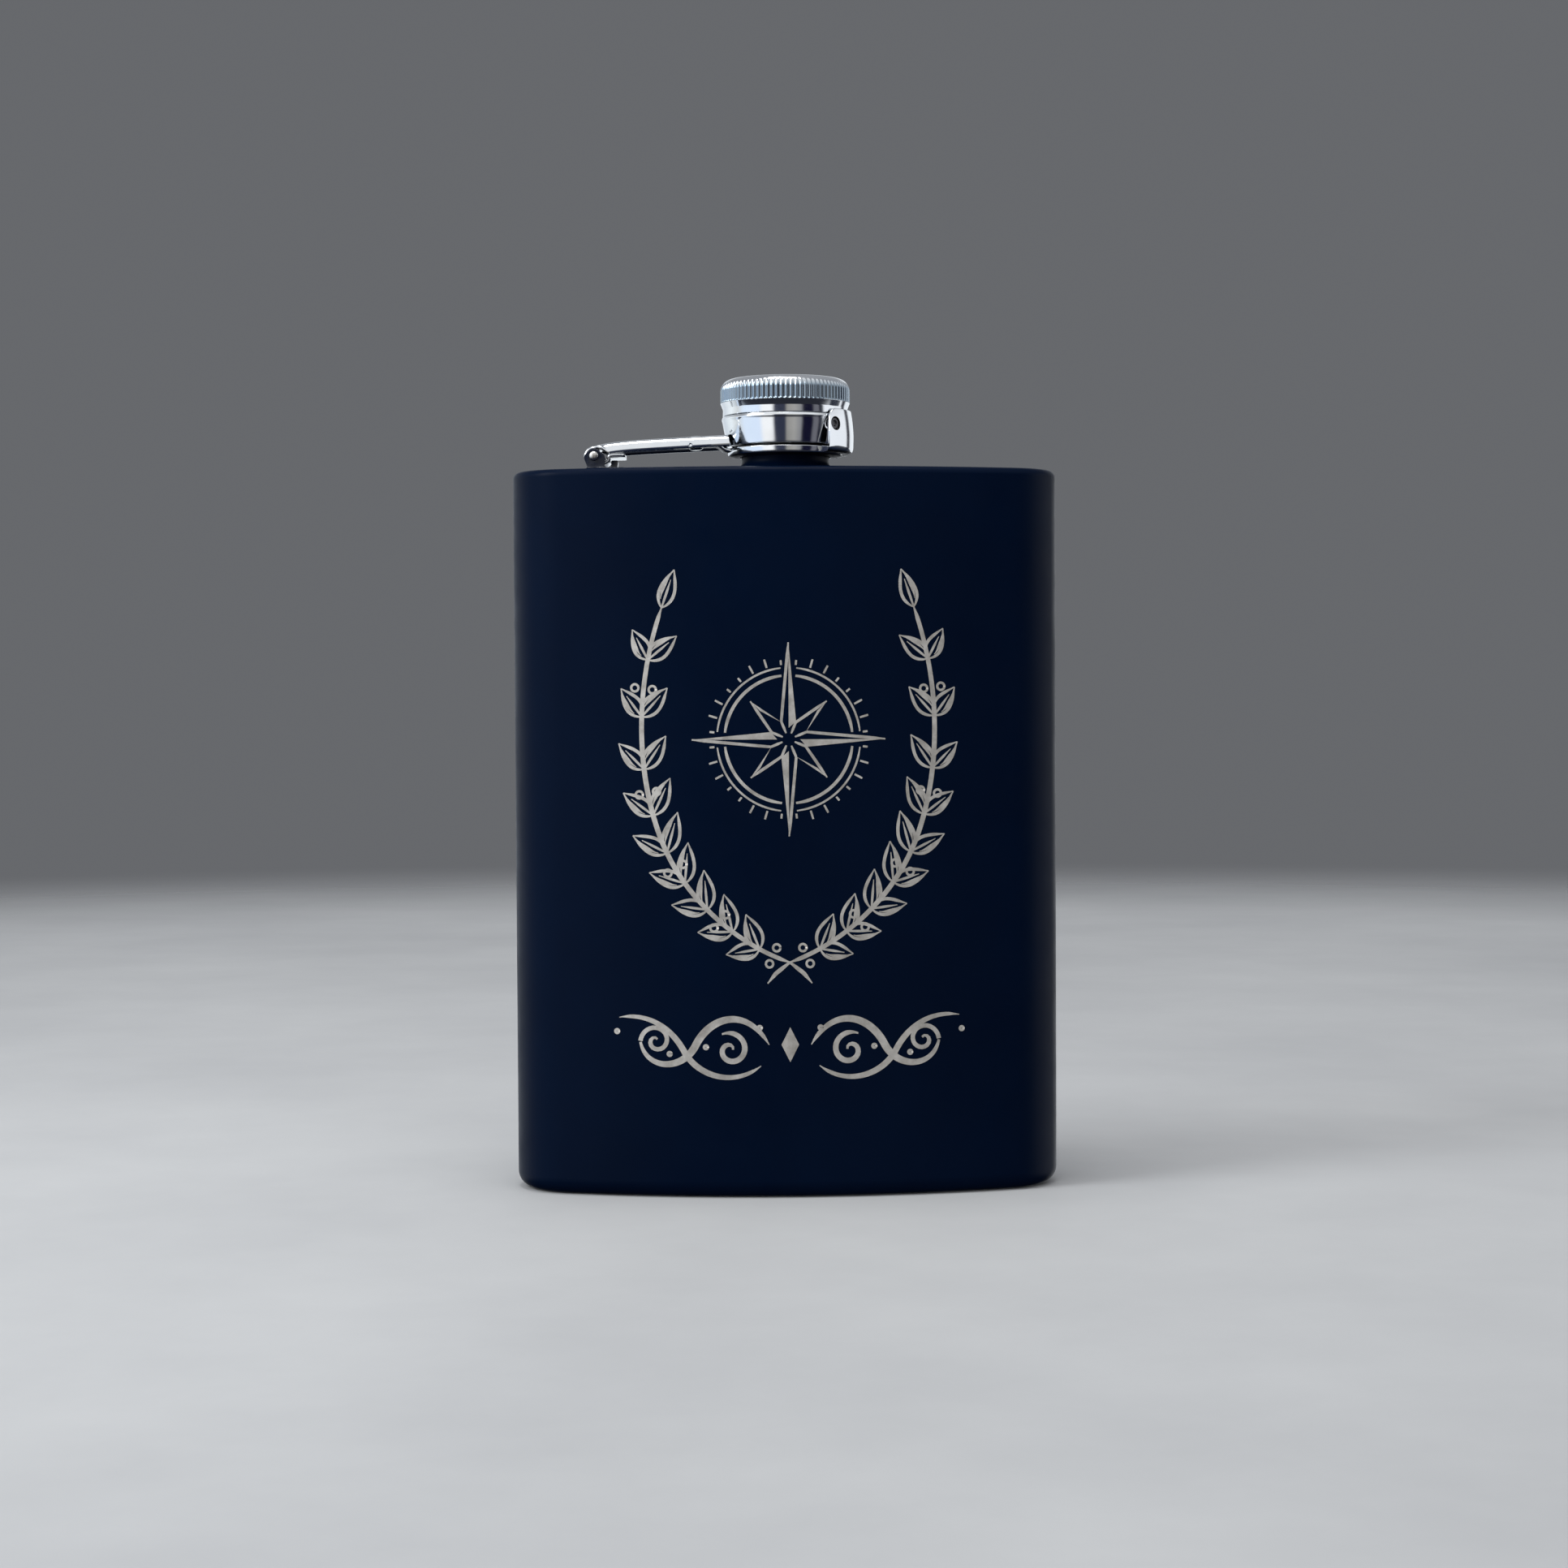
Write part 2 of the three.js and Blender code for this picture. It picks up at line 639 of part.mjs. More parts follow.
function capSeal() {
  const bevel = 0.2;
  return part('cap_seal', discSolid([
    [0, SEAL_BOTTOM],
    [SEAL_RADIUS - bevel, SEAL_BOTTOM],
    [SEAL_RADIUS, SEAL_BOTTOM + bevel],
    [SEAL_RADIUS, SEAL_TOP - bevel],
    [SEAL_RADIUS - bevel, SEAL_TOP],
    [0, SEAL_TOP],
  ]), silicone());
}

// A snap ring on the shank, which keeps the collar from dropping off the cap.
function retainingRing() {
  const bore = SHANK_RADIUS + 0.08;
  return part('retaining_ring', ringSolid([
    [bore, CLIP_BOTTOM],
    [CLIP_RADIUS, CLIP_BOTTOM],
    [CLIP_RADIUS, CLIP_TOP],
    [bore, CLIP_TOP],
  ]), bareSteel());
}

// ---------------------------------------------------------------- assembly

const flask = new THREE.Group();
flask.add(bodyShell(), topPlate(), basePlate());

// Everything about the lid is placed from the neck's axis.
const lid = new THREE.Group();
lid.position.y = NECK_Y;
lid.add(neckSpout(), armYoke(), pivotRivet('pivot_rivet_front', -1), pivotRivet('pivot_rivet_rear', 1));
lid.add(capCollar(), capShell(), capCore(), capSeal(), retainingRing());
flask.add(lid);

const bracket = hingeBracket();
bracket.position.set(HINGE_X, NECK_Y, 0);
const pin = hingePin();
pin.position.set(HINGE_X, NECK_Y, HINGE_Z);
flask.add(bracket, pin);

const arm = armFrame();
arm.add(armStrap(arm), armRivet());
flask.add(arm);

export default flask;
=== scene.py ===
"""A powder coated hip flask with a captive screw cap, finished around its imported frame."""
import math

import bmesh
import bpy
import numpy as np
from mathutils import Matrix, Vector
from mathutils.geometry import tessellate_polygon

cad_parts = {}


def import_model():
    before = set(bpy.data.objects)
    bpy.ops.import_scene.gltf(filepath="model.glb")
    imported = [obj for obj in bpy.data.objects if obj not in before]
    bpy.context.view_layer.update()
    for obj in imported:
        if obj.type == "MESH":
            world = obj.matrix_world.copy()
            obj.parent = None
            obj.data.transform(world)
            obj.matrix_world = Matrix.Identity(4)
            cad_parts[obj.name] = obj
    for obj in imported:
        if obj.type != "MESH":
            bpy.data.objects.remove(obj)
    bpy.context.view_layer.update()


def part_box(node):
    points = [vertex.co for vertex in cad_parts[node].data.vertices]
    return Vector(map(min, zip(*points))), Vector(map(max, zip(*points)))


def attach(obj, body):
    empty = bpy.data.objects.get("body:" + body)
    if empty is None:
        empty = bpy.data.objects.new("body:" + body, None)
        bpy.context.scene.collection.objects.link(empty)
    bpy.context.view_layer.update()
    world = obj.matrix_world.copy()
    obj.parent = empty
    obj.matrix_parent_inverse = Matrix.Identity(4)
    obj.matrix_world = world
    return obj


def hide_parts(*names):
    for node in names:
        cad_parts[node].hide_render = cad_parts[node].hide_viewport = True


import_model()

MM = 0.001
rad = math.radians
ALONG_Y = Matrix.Rotation(rad(90), 4, "X")

# ---- sizes, in millimetres


def span(node):
    """Lowest and highest corner of a CAD node, in millimetres."""
    lo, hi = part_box(node)
    return [v / MM for v in lo], [v / MM for v in hi]


def middle(node, axis):
    """Half way between a CAD node's lowest and highest corner, along one axis."""
    lo, hi = span(node)
    return (lo[axis] + hi[axis]) / 2


# Body
WIDTH = round(span("body_shell")[1][0] - span("body_shell")[0][0], 1)
HEIGHT = span("top_plate")[1][2]
FOOT = HEIGHT + 0.02
THICKNESS = 23
FRONT_RADIUS = 136
SHEET = 0.7
SEAM_GAP = 0.15
TOP_ROUNDING = HEIGHT - span("body_shell")[1][2] - SEAM_GAP
BASE_ROUNDING = span("body_shell")[0][2] - SEAM_GAP
SEAM = 0.001
FLANGE_INSET = 1.0
FLANGE_LENGTH = 3.0
END_RADIUS = THICKNESS / 2
MIDDLE_RADIUS = FRONT_RADIUS - END_RADIUS
END_ANGLE = math.asin((WIDTH / 2 - END_RADIUS) / MIDDLE_RADIUS)
ARC_CENTRE_Y = MIDDLE_RADIUS * (1 + math.cos(END_ANGLE)) / 2

# Neck, with the threads on it and in the cap
NECK_RIM = span("neck_spout")[1][2]
NECK_BORE = 5.9
NECK_TUBE = 7.1
NECK_HOLE = 7.3
NECK_RADIUS = 7.55
NECK_ROOT = 6.75
NECK_CREST = 7.3
THREAD_PITCH = 1.5
THREAD_TURNS = 2.3
NECK_THREAD_Z = 129.8
CORE_THREAD_Z = 130.2

# Hinge
LID_Y = middle("cap_shell", 1)
HINGE_X = middle("hinge_pin", 0)
HINGE_Z = middle("hinge_pin", 2)
PIN_RADIUS = 0.7
PIN_HEAD = 5.03
EAR_INNER = 4.25
EAR_OUTER = 4.95
REST_TOP = 126.6
REST_HALF = 2.6

# Arm: the strap, then the yoke's tongue, ring and ear
ARM_CLIMB = rad(2.8)
ARM_TOP = 2.45
ARM_SHEET = 0.75
KNUCKLE_RADIUS = 1.75
ARM_END = 23.2
ARM_END_RADIUS = 10.75
TAIL_END = 5.4
RIVET_X = 17.6
TONGUE_LEVEL = 1.25
TONGUE_HALF = 2.9
TONGUE_SHEET = 0.68
RING_BORE = 7.95
RING_RADIUS = 10.0
RING_TOP = 128.6
EAR_REACH = 52.4
EAR_CORNER = 12.0
PIVOT_AZIMUTH = rad(44)
PIVOT_Z = middle("pivot_rivet_front", 2)

# Cap and collar
CAP_RADIUS = (span("cap_shell")[1][0] - span("cap_shell")[0][0]) / 2
CAP_TOP = span("cap_shell")[1][2]
CAP_SHOULDER = 2.1
CAP_SHEET = 0.6
COLLAR_LOW, COLLAR_TOP = span("cap_collar")[0][2], span("cap_collar")[1][2]
CORE_ROOT = 8.4
CORE_CREST = 7.95
SHANK_RADIUS = 8.9
RIB_FOOT = 136.42
RIB_END = 139.95
RIBS = 84
RIB_DEPTH = 0.2

# ---- mesh helpers


def rounded(points, steps=5):
    """A polyline from (a, b) or (a, b, radius) points, with each radius turned into a smooth bend."""
    out = []
    for i, p in enumerate(points):
        here = np.array(p[:2], float)
        radius = p[2] if len(p) > 2 else 0
        if radius and 0 < i < len(points) - 1:
            before = np.array(points[i - 1][:2], float) - here
            after = np.array(points[i + 1][:2], float) - here
            a = here + before * min(0.5, radius / np.linalg.norm(before))
            b = here + after * min(0.5, radius / np.linalg.norm(after))
            for s in np.linspace(0, 1, steps + 1):
                out.append((1 - s) ** 2 * a + 2 * s * (1 - s) * here + s * s * b)
        else:
            out.append(here)
    return np.array(out)


def arc(x, z, radius, start, end, steps):
    """Points on an arc, its angles in degrees."""
    angles = np.radians(np.linspace(start, end, steps + 1))
    return [(x + radius * math.cos(a), z + radius * math.sin(a)) for a in angles]


def on_circle(x, z, radius, angle):
    """A point, or a row of points, at an angle in radians round (x, z)."""
    return np.stack([x + radius * np.cos(angle), z + radius * np.sin(angle)], -1)


def rim_angles(count):
    return np.arange(count) * 2 * math.pi / count


def resampled(points, count):
    """The same polyline with count points spread evenly along it."""
    points = np.asarray(points, float)
    steps = np.linalg.norm(np.diff(points, axis=0), axis=1)
    along = np.concatenate([[0], np.cumsum(steps)])
    wanted = np.linspace(0, along[-1], count)
    return np.stack([np.interp(wanted, along, points[:, k]) for k in range(points.shape[1])], 1)


def bezier(points, count):
    """A curve through control points: each three points after the first make one cubic stretch."""
    out = []
    p = [np.array(q, float) for q in points]
    stretches = (len(p) - 1) // 3
    for i in range(stretches):
        a, b, c, d = p[3 * i:3 * i + 4]
        for s in np.linspace(0, 1, count // stretches + 1)[(1 if i else 0):]:
            out.append((1 - s) ** 3 * a + 3 * s * (1 - s) ** 2 * b + 3 * s * s * (1 - s) * c + s ** 3 * d)
    return np.array(out)


def smooth_step(x, low, high):
    """Rises smoothly from 0 at low to 1 at high."""
    t = np.clip((np.asarray(x, float) - low) / (high - low), 0, 1)
    return t * t * (3 - 2 * t)


def loft(rings, ring_closed=True, path_closed=True):
    """Vertices and faces through rings of points, shaped (rings, points, 3)."""
    rings = np.asarray(rings, float)
    n, m = rings.shape[:2]
    faces = []
    for i in range(n if path_closed else n - 1):
        for j in range(m if ring_closed else m - 1):
            k, l = (i + 1) % n, (j + 1) % m
            faces.append((i * m + j, k * m + j, k * m + l, i * m + l))
    if not path_closed:
        faces.append(tuple(range(m)))
        faces.append(tuple((n - 1) * m + j for j in reversed(range(m))))
    return rings.reshape(-1, 3), faces


def make(name, verts, faces, *materials, edge=38, weld=1e-7):
    """A mesh object from points in millimetres, welded, facing outward and smooth up to an edge angle."""
    mesh = bpy.data.meshes.new(name)
    mesh.from_pydata((np.asarray(verts) * MM).tolist(), [], faces)
    bm = bmesh.new()
    bm.from_mesh(mesh)
    bmesh.ops.remove_doubles(bm, verts=bm.verts, dist=weld)
    bmesh.ops.dissolve_degenerate(bm, edges=bm.edges, dist=weld)
    bmesh.ops.recalc_face_normals(bm, faces=bm.faces)
    if bm.calc_volume(signed=True) < 0:
        bmesh.ops.reverse_faces(bm, faces=bm.faces)
    bm.to_mesh(mesh)
    bm.free()
    for m in materials:
        mesh.materials.append(m)
    obj = bpy.data.objects.new(name, mesh)
    bpy.context.scene.collection.objects.link(obj)
    shade(obj, edge)
    return obj


def shade(obj, edge=38):
    obj.data.shade_smooth()
    obj.data.set_sharp_from_angle(angle=rad(edge))


def apply_modifiers(obj):
    """The object's mesh with its modifiers applied, and none left on it."""
    bpy.context.view_layer.update()
    graph = bpy.context.evaluated_depsgraph_get()
    made = bpy.data.meshes.new_from_object(obj.evaluated_get(graph), depsgraph=graph)
    obj.modifiers.clear()
    old = obj.data
    obj.data = made
    bpy.data.meshes.remove(old)


def boolean(obj, other, operation):
    """Joins, cuts or keeps the common part of two closed meshes, and removes the second."""
    mod = obj.modifiers.new("boolean", "BOOLEAN")
    mod.operation, mod.object, mod.solver = operation, other, "EXACT"
    apply_modifiers(obj)
    bpy.data.objects.remove(other)


def bevel(obj, width, segments=3, angle=30):
    mod = obj.modifiers.new("bevel", "BEVEL")
    mod.width, mod.segments = width * MM, segments
    mod.limit_method, mod.angle_limit = "ANGLE", rad(angle)
    apply_modifiers(obj)


def revolve(name, profile, *materials, sides=128, wave=None, at=(0, LID_Y, 0), axis=None):
    """A piece turned about Z from (radius, z) points: a closed section, unless it starts on the axis."""
    profile = np.asarray([tuple(p) for p in profile], float)
    rings = []
    for a in rim_angles(sides):
        r = profile[:, 0] if wave is None else wave(a, profile[:, 0], profile[:, 1])
        rings.append(np.stack([r * math.cos(a), r * math.sin(a), profile[:, 1]], 1))
    verts, faces = loft(rings, ring_closed=profile[0, 0] > 1e-6)
    if axis is not None:
        verts = verts @ np.array(axis.to_3x3()).T
    return make(name, verts + np.array(at), faces, *materials)


def prism(outline, low, high):
    """Points and faces of a slab: an (x, z) outline, thick from y = low to y = high."""
    outline = np.asarray(outline, float)
    rings = [np.stack([outline[:, 0], np.full(len(outline), y), outline[:, 1]], 1) for y in (low, high)]
    return loft(rings, path_closed=False)


def strip(centre, thickness, ends=4):
    """The closed outline of a sheet of that thickness along a centre line, with rounded ends."""
    centre = np.asarray(centre, float)
    along = np.gradient(centre, axis=0)
    along /= np.linalg.norm(along, axis=1)[:, None]
    normal = np.stack([-along[:, 1], along[:, 0]], 1)
    half = thickness / 2
    round_off = []
    for i, sign in ((-1, 1), (0, -1)):
        turn = np.linspace(0, math.pi, ends + 2)[1:-1]
        cap = [centre[i] + half * sign * (normal[i] * math.cos(t) + along[i] * math.sin(t)) for t in turn]
        round_off.append(np.array(cap))
    left, right = centre + normal * half, (centre - normal * half)[::-1]
    return np.concatenate([left, round_off[0], right, round_off[1]])


# ---- materials


def new_material(name):
    m = bpy.data.materials.new(name)
    m.use_nodes = True
    return m, m.node_tree, m.node_tree.nodes["Principled BSDF"]


def feed(tree, socket, value):
    """Gives a node's input a number or a colour, or links it to another node's output."""
    if isinstance(value, (int, float, tuple)):
        socket.default_value = value
    else:
        tree.links.new(value, socket)


def add(tree, kind, inputs):
    """A new node of a kind, with its inputs fed by name or number."""
    node = tree.nodes.new("ShaderNode" + kind)
    for name, value in inputs.items():
        feed(tree, node.inputs[name], value)
    return node


def place(tree, scale=(1, 1, 1)):
    """Object coordinates, stretched by scale."""
    coords = add(tree, "TexCoord", {}).outputs["Object"]
    return add(tree, "Mapping", {"Vector": coords, "Scale": scale}).outputs["Vector"]


def noise(tree, vector, scale, detail=4, roughness=0.55):
    inputs = {"Vector": vector, "Scale": scale, "Detail": detail, "Roughness": roughness}
    return add(tree, "TexNoise", inputs).outputs["Fac"]


def ramp(tree, value, *stops):
    """A colour for each value between 0 and 1, from stops of (value, colour or grey)."""
    r = add(tree, "ValToRGB", {"Fac": value})
    elements = r.color_ramp.elements
    while len(elements) < len(stops):
        elements.new(0.5)
    for e, (at, colour) in zip(elements, stops):
        e.position = at
        e.color = (*colour, 1) if isinstance(colour, tuple) else (colour, colour, colour, 1)
    return r.outputs["Color"]


def vary(tree, shader, name, value, low, high, start=0.3, stop=0.7):
    """Lets a noise move one of the shader's inputs from low to high."""
    feed(tree, shader.inputs[name], ramp(tree, value, (start, low), (stop, high)))


def maths(tree, operation, *values):
    node = add(tree, "Math", dict(enumerate(values)))
    node.operation = operation
    return node.outputs["Value"]


def blend(tree, factor, low, high, mode="MIX"):
    mix = add(tree, "Mix", {})
    mix.data_type, mix.blend_type = "RGBA", mode
    for name, value in (("Factor", factor), ("A", low), ("B", high)):
        feed(tree, mix.inputs[name], value)
    return mix.outputs["Result"]


def add_bumps(tree, shader, *heights):
    """Bumps in a row: each is (height, strength, distance in millimetres)."""
    last = {}
    for height, strength, distance in heights:
        inputs = {"Height": height, "Strength": strength, "Distance": distance * MM}
        last = {"Normal": add(tree, "Bump", {**inputs, **last}).outputs["Normal"]}
    feed(tree, shader.inputs["Normal"], last["Normal"])


def powder_coat(name, sheen, rough_low, rough_high):
    """Navy powder coat: a fine dry grain, a slight orange peel and a soft sheen."""
    m, tree, shader = new_material(name)
    v = place(tree)
    patches = noise(tree, v, 45, 3)
    grain = noise(tree, v, 5200, 2, 0.6)
    peel = noise(tree, v, 900, 3, 0.5)
    wear = noise(tree, v, 160, 5, 0.6)
    vary(tree, shader, "Base Color", patches, (0.0001, 0.0037, 0.0155), (0.0002, 0.0047, 0.0190))
    vary(tree, shader, "Roughness", wear, rough_low, rough_high, start=0.35)
    shader.inputs["Specular IOR Level"].default_value = sheen
    add_bumps(tree, shader, (peel, 0.10, 0.05), (grain, 0.16, 0.03))
    return m


def polished_steel(name):
    """Bright plated steel with hairline marks and faint handling smears."""
    m, tree, shader = new_material(name)
    v = place(tree)
    hair = noise(tree, place(tree, (60, 60, 900)), 6, 6, 0.7)
    smear = noise(tree, v, 140, 5, 0.65)
    pits = noise(tree, v, 1500, 3, 0.6)
    vary(tree, shader, "Base Color", smear, (0.74, 0.77, 0.81), (0.83, 0.85, 0.87), stop=0.75)
    vary(tree, shader, "Roughness", smear, 0.075, 0.17, start=0.35, stop=0.8)
    shader.inputs["Metallic"].default_value = 1.0
    add_bumps(tree, shader, (hair, 0.05, 0.02), (pits, 0.04, 0.02))
    return m


def knurled_steel():
    """The same bright plate, with a painted darker, bluish reflection on the ribs of the cap."""
    m = polished_steel("knurled_steel")
    tree = m.node_tree
    base = tree.nodes["Principled BSDF"].inputs["Base Color"]
    z = add(tree, "SeparateXYZ", {"Vector": place(tree)}).outputs["Z"]
    height = add(tree, "MapRange", {"Value": z, "From Min": RIB_FOOT * MM, "From Max": RIB_END * MM})
    # Painted reflection: the lower ribs' base colour is darkened and tinted blue-grey, fading out towards the
    # shoulder.
    clear, painted_reflection = (1.0, 1.0, 1.0), (0.36, 0.43, 0.49)
    stops = (0.0, clear), (0.01, painted_reflection), (0.7, painted_reflection), (1.0, clear)
    reflection_tint = ramp(tree, height.outputs["Result"], *stops)
    feed(tree, base, blend(tree, 1.0, base.links[0].from_socket, reflection_tint, "MULTIPLY"))
    return m


def satin_steel(name, light, dark, rough_low, rough_high):
    """Bare steel with a short brushed grain."""
    m, tree, shader = new_material(name)
    grain = noise(tree, place(tree, (1, 1, 12)), 700, 5, 0.7)
    vary(tree, shader, "Base Color", noise(tree, place(tree), 220, 4), dark, light)
    vary(tree, shader, "Roughness", grain, rough_low, rough_high)
    shader.inputs["Metallic"].default_value = 1.0
    add_bumps(tree, shader, (grain, 0.12, 0.03))
    return m


def engraved_steel():
    """Steel laid bare by a laser: fine raster lines, warm and a little diffuse."""
    m, tree, shader = new_material("engraving")
    raster = add(tree, "TexWave", {"Vector": place(tree), "Scale": 1250, "Distortion": 0.6})
    raster.bands_direction = "Z"
    patch = noise(tree, place(tree), 420, 5, 0.65)
    vary(tree, shader, "Base Color", patch, (0.42, 0.395, 0.36), (0.70, 0.675, 0.635))
    vary(tree, shader, "Roughness", patch, 0.38, 0.55)
    shader.inputs["Metallic"].default_value = 0.55
    add_bumps(tree, shader, (raster.outputs["Fac"], 0.25, 0.02), (patch, 0.15, 0.02))
    return m


def moulded_plastic():
    """Black moulded plastic with a fine spark-eroded texture."""
    m, tree, shader = new_material("cap_core")
    v = place(tree)
    flow = noise(tree, v, 120, 3)
    vary(tree, shader, "Base Color", flow, (0.018, 0.018, 0.020), (0.03, 0.03, 0.032))
    vary(tree, shader, "Roughness", flow, 0.38, 0.52)
    add_bumps(tree, shader, (noise(tree, v, 3200, 3, 0.6), 0.2, 0.03))
    return m


def seal_rubber():
    """Milky food-grade silicone with a dry surface."""
    m, tree, shader = new_material("seal")
    v = place(tree)
    cloud = noise(tree, v, 260, 3)
    vary(tree, shader, "Base Color", cloud, (0.66, 0.66, 0.61), (0.76, 0.76, 0.72))
    vary(tree, shader, "Roughness", cloud, 0.55, 0.7)
    shader.inputs["Subsurface Weight"].default_value = 0.15
    shader.inputs["Subsurface Scale"].default_value = 0.001
    add_bumps(tree, shader, (noise(tree, v, 2600, 2), 0.15, 0.02))
    return m


COAT = powder_coat("powder_coat", 0.045, 0.36, 0.44)
GLOSSY_COAT = powder_coat("powder_coat_worn_smooth", 0.6, 0.2, 0.3)
BRIGHT = polished_steel("polished_steel")
RIBBED = knurled_steel()
SATIN = satin_steel("satin_steel", (0.66, 0.65, 0.62), (0.52, 0.51, 0.49), 0.26, 0.42)
# Near-black steel: painted shade, for the ring's underside and the rivets in the ear's dark recesses.
PAINTED_SHADE = satin_steel("painted_shade_steel", (0.10, 0.10, 0.11), (0.05, 0.05, 0.055), 0.3, 0.5)
MARKED = engraved_steel()
PLASTIC = moulded_plastic()
SILICONE = seal_rubber()


def settle(piece, body, slot, *nodes):
    """Parents a piece to the body it rides on and hides the CAD nodes it stands for. The slot is not used."""
    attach(piece, body)
    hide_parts(*nodes)
    return piece


# ---- body


def kidney(inset, face=112, end=40):
    """The body's outline, drawn in by inset: convex front, round ends, hollow back."""
    def sweep(x, y, radius, start, stop, count):
        turn = np.linspace(start, stop, count, endpoint=False)
        return np.stack([x + radius * np.sin(turn), y - radius * np.cos(turn)], 1)

    a, round_radius = END_ANGLE, END_RADIUS - inset
    end_x, end_y = MIDDLE_RADIUS * math.sin(a), ARC_CENTRE_Y - MIDDLE_RADIUS * math.cos(a)
    return np.concatenate([
        sweep(0, ARC_CENTRE_Y, FRONT_RADIUS - inset, -a, a, face),
        sweep(end_x, end_y, round_radius, a, a + math.pi, end),
        sweep(0, ARC_CENTRE_Y, FRONT_RADIUS - THICKNESS + inset, a, -a, face),
        sweep(-end_x, end_y, round_radius, math.pi - a, 2 * math.pi - a, end),
    ])


def kidney_rings(profile):
    """Rings of (inset, z) points round the body's outline, one for each point of the outline."""
    levels = []
    for inset, z in profile:
        outline = kidney(inset)
        levels.append(np.column_stack([outline, np.full(len(outline), z)]))
    return np.stack(levels, 1)


def body_shell():
    low, high = BASE_ROUNDING + SEAM, HEIGHT - TOP_ROUNDING - SEAM
    rise = [(0, z) for z in np.linspace(low, high, 40)]
    inner = [(SHEET, z) for z in (high, high * 0.66, high * 0.33, low)]
    verts, faces = loft(kidney_rings(rise + inner))
    return settle(make("flask_shell", verts, faces, COAT), "flask", "powder_coat", "body_shell")


def flat_face(outline, z, holes=()):
    """Points and triangles of a flat face at height z, with round holes."""
    loops = [[Vector((x, y, z)) for x, y in loop] for loop in (outline, *holes)]
    return [p for loop in loops for p in loop], tessellate_polygon(loops)


def add_faces(verts, faces, more_verts, more_faces):
    """Adds points and faces to the lists of a mesh."""
    start = len(verts)
    verts += [tuple(p) for p in more_verts]
    faces += [tuple(start + i for i in f) for f in more_faces]


def plate(profile, gap, *holes):
    """A profile of (inset, z) points round the body, with flat faces from points gap and gap + 1."""
    count = len(profile)
    verts, faces = loft(kidney_rings(profile))
    verts = list(map(tuple, verts))
    faces = [f for f in faces if {i % count for i in f} != {gap, gap + 1}]
    for inset, z in profile[gap:gap + 2]:
        add_faces(verts, faces, *flat_face(kidney(inset), z, holes))
    return verts, faces


def top_plate():
    """A pressed plate with a rounded rim, a flange inside the shell and the neck's hole."""
    seam = HEIGHT - TOP_ROUNDING
    foot = seam - FLANGE_LENGTH
    inside = FLANGE_INSET + SHEET
    outer = [(FLANGE_INSET, foot), (FLANGE_INSET, seam)] + arc(TOP_ROUNDING, seam, TOP_ROUNDING, 180, 90, 10)
    under = [(inside, HEIGHT - SHEET), (inside, foot)]
    hole = on_circle(0, LID_Y, NECK_HOLE, rim_angles(96))
    verts, faces = plate(outer + under, len(outer) - 1, hole)
    rim = [[(x, y, z) for z in (HEIGHT, HEIGHT - SHEET)] for x, y in hole]
    add_faces(verts, faces, *loft(rim, ring_closed=False))
    return settle(make("flask_top", verts, faces, COAT, weld=2e-6), "flask", "powder_coat", "top_plate")


def base_plate():
    """A pressed plate with a rounded rim, a flange inside the shell and a raised panel underneath."""
    seam = BASE_ROUNDING
    inside = FLANGE_INSET + SHEET
    panel = BASE_ROUNDING + 4.2
    rise = 0.8
    rim = arc(BASE_ROUNDING, seam, BASE_ROUNDING, 180, 270, 12)
    outer = [(FLANGE_INSET, seam + FLANGE_LENGTH), (FLANGE_INSET, seam)] + rim
    dish = rounded([(panel - 0.9, 0), (panel, 0, 0.6), (panel + 1.1, rise, 0.6), (panel + 2.2, rise)], 6)
    back = rounded([
        (panel + 1.7, rise + SHEET), (panel + 0.8, rise + SHEET, 0.5), (panel - 0.3, SHEET, 0.5),
        (inside + 1.9, SHEET, 1.4), (inside, SHEET + 1.9, 1.4), (inside, seam + FLANGE_LENGTH)], 5)
    verts, faces = plate([*outer, *dish, *back], len(outer) + len(dish) - 1)
    return settle(make("flask_base", verts, faces, COAT, weld=2e-6), "flask", "powder_coat", "base_plate")


def thread(root, crest, bottom):
    """A radius for each angle and height, with a helical ridge that fades in and out at its ends."""
    def wave(angle, radius, z):
        turn = angle / (2 * math.pi)
        nearest = np.round((z - bottom) / THREAD_PITCH - turn)
        along = nearest + turn
        off = np.abs(z - bottom - THREAD_PITCH * along)
        ridge = 1 - smooth_step(off, 0.10, 0.48)
        fade = smooth_step(along, 0, 0.12) * (1 - smooth_step(along, THREAD_TURNS - 0.12, THREAD_TURNS))
        on_wall = np.abs(radius - root) < 0.02
        return radius + np.where(on_wall, ridge * fade * (crest - root), 0)
    return wave


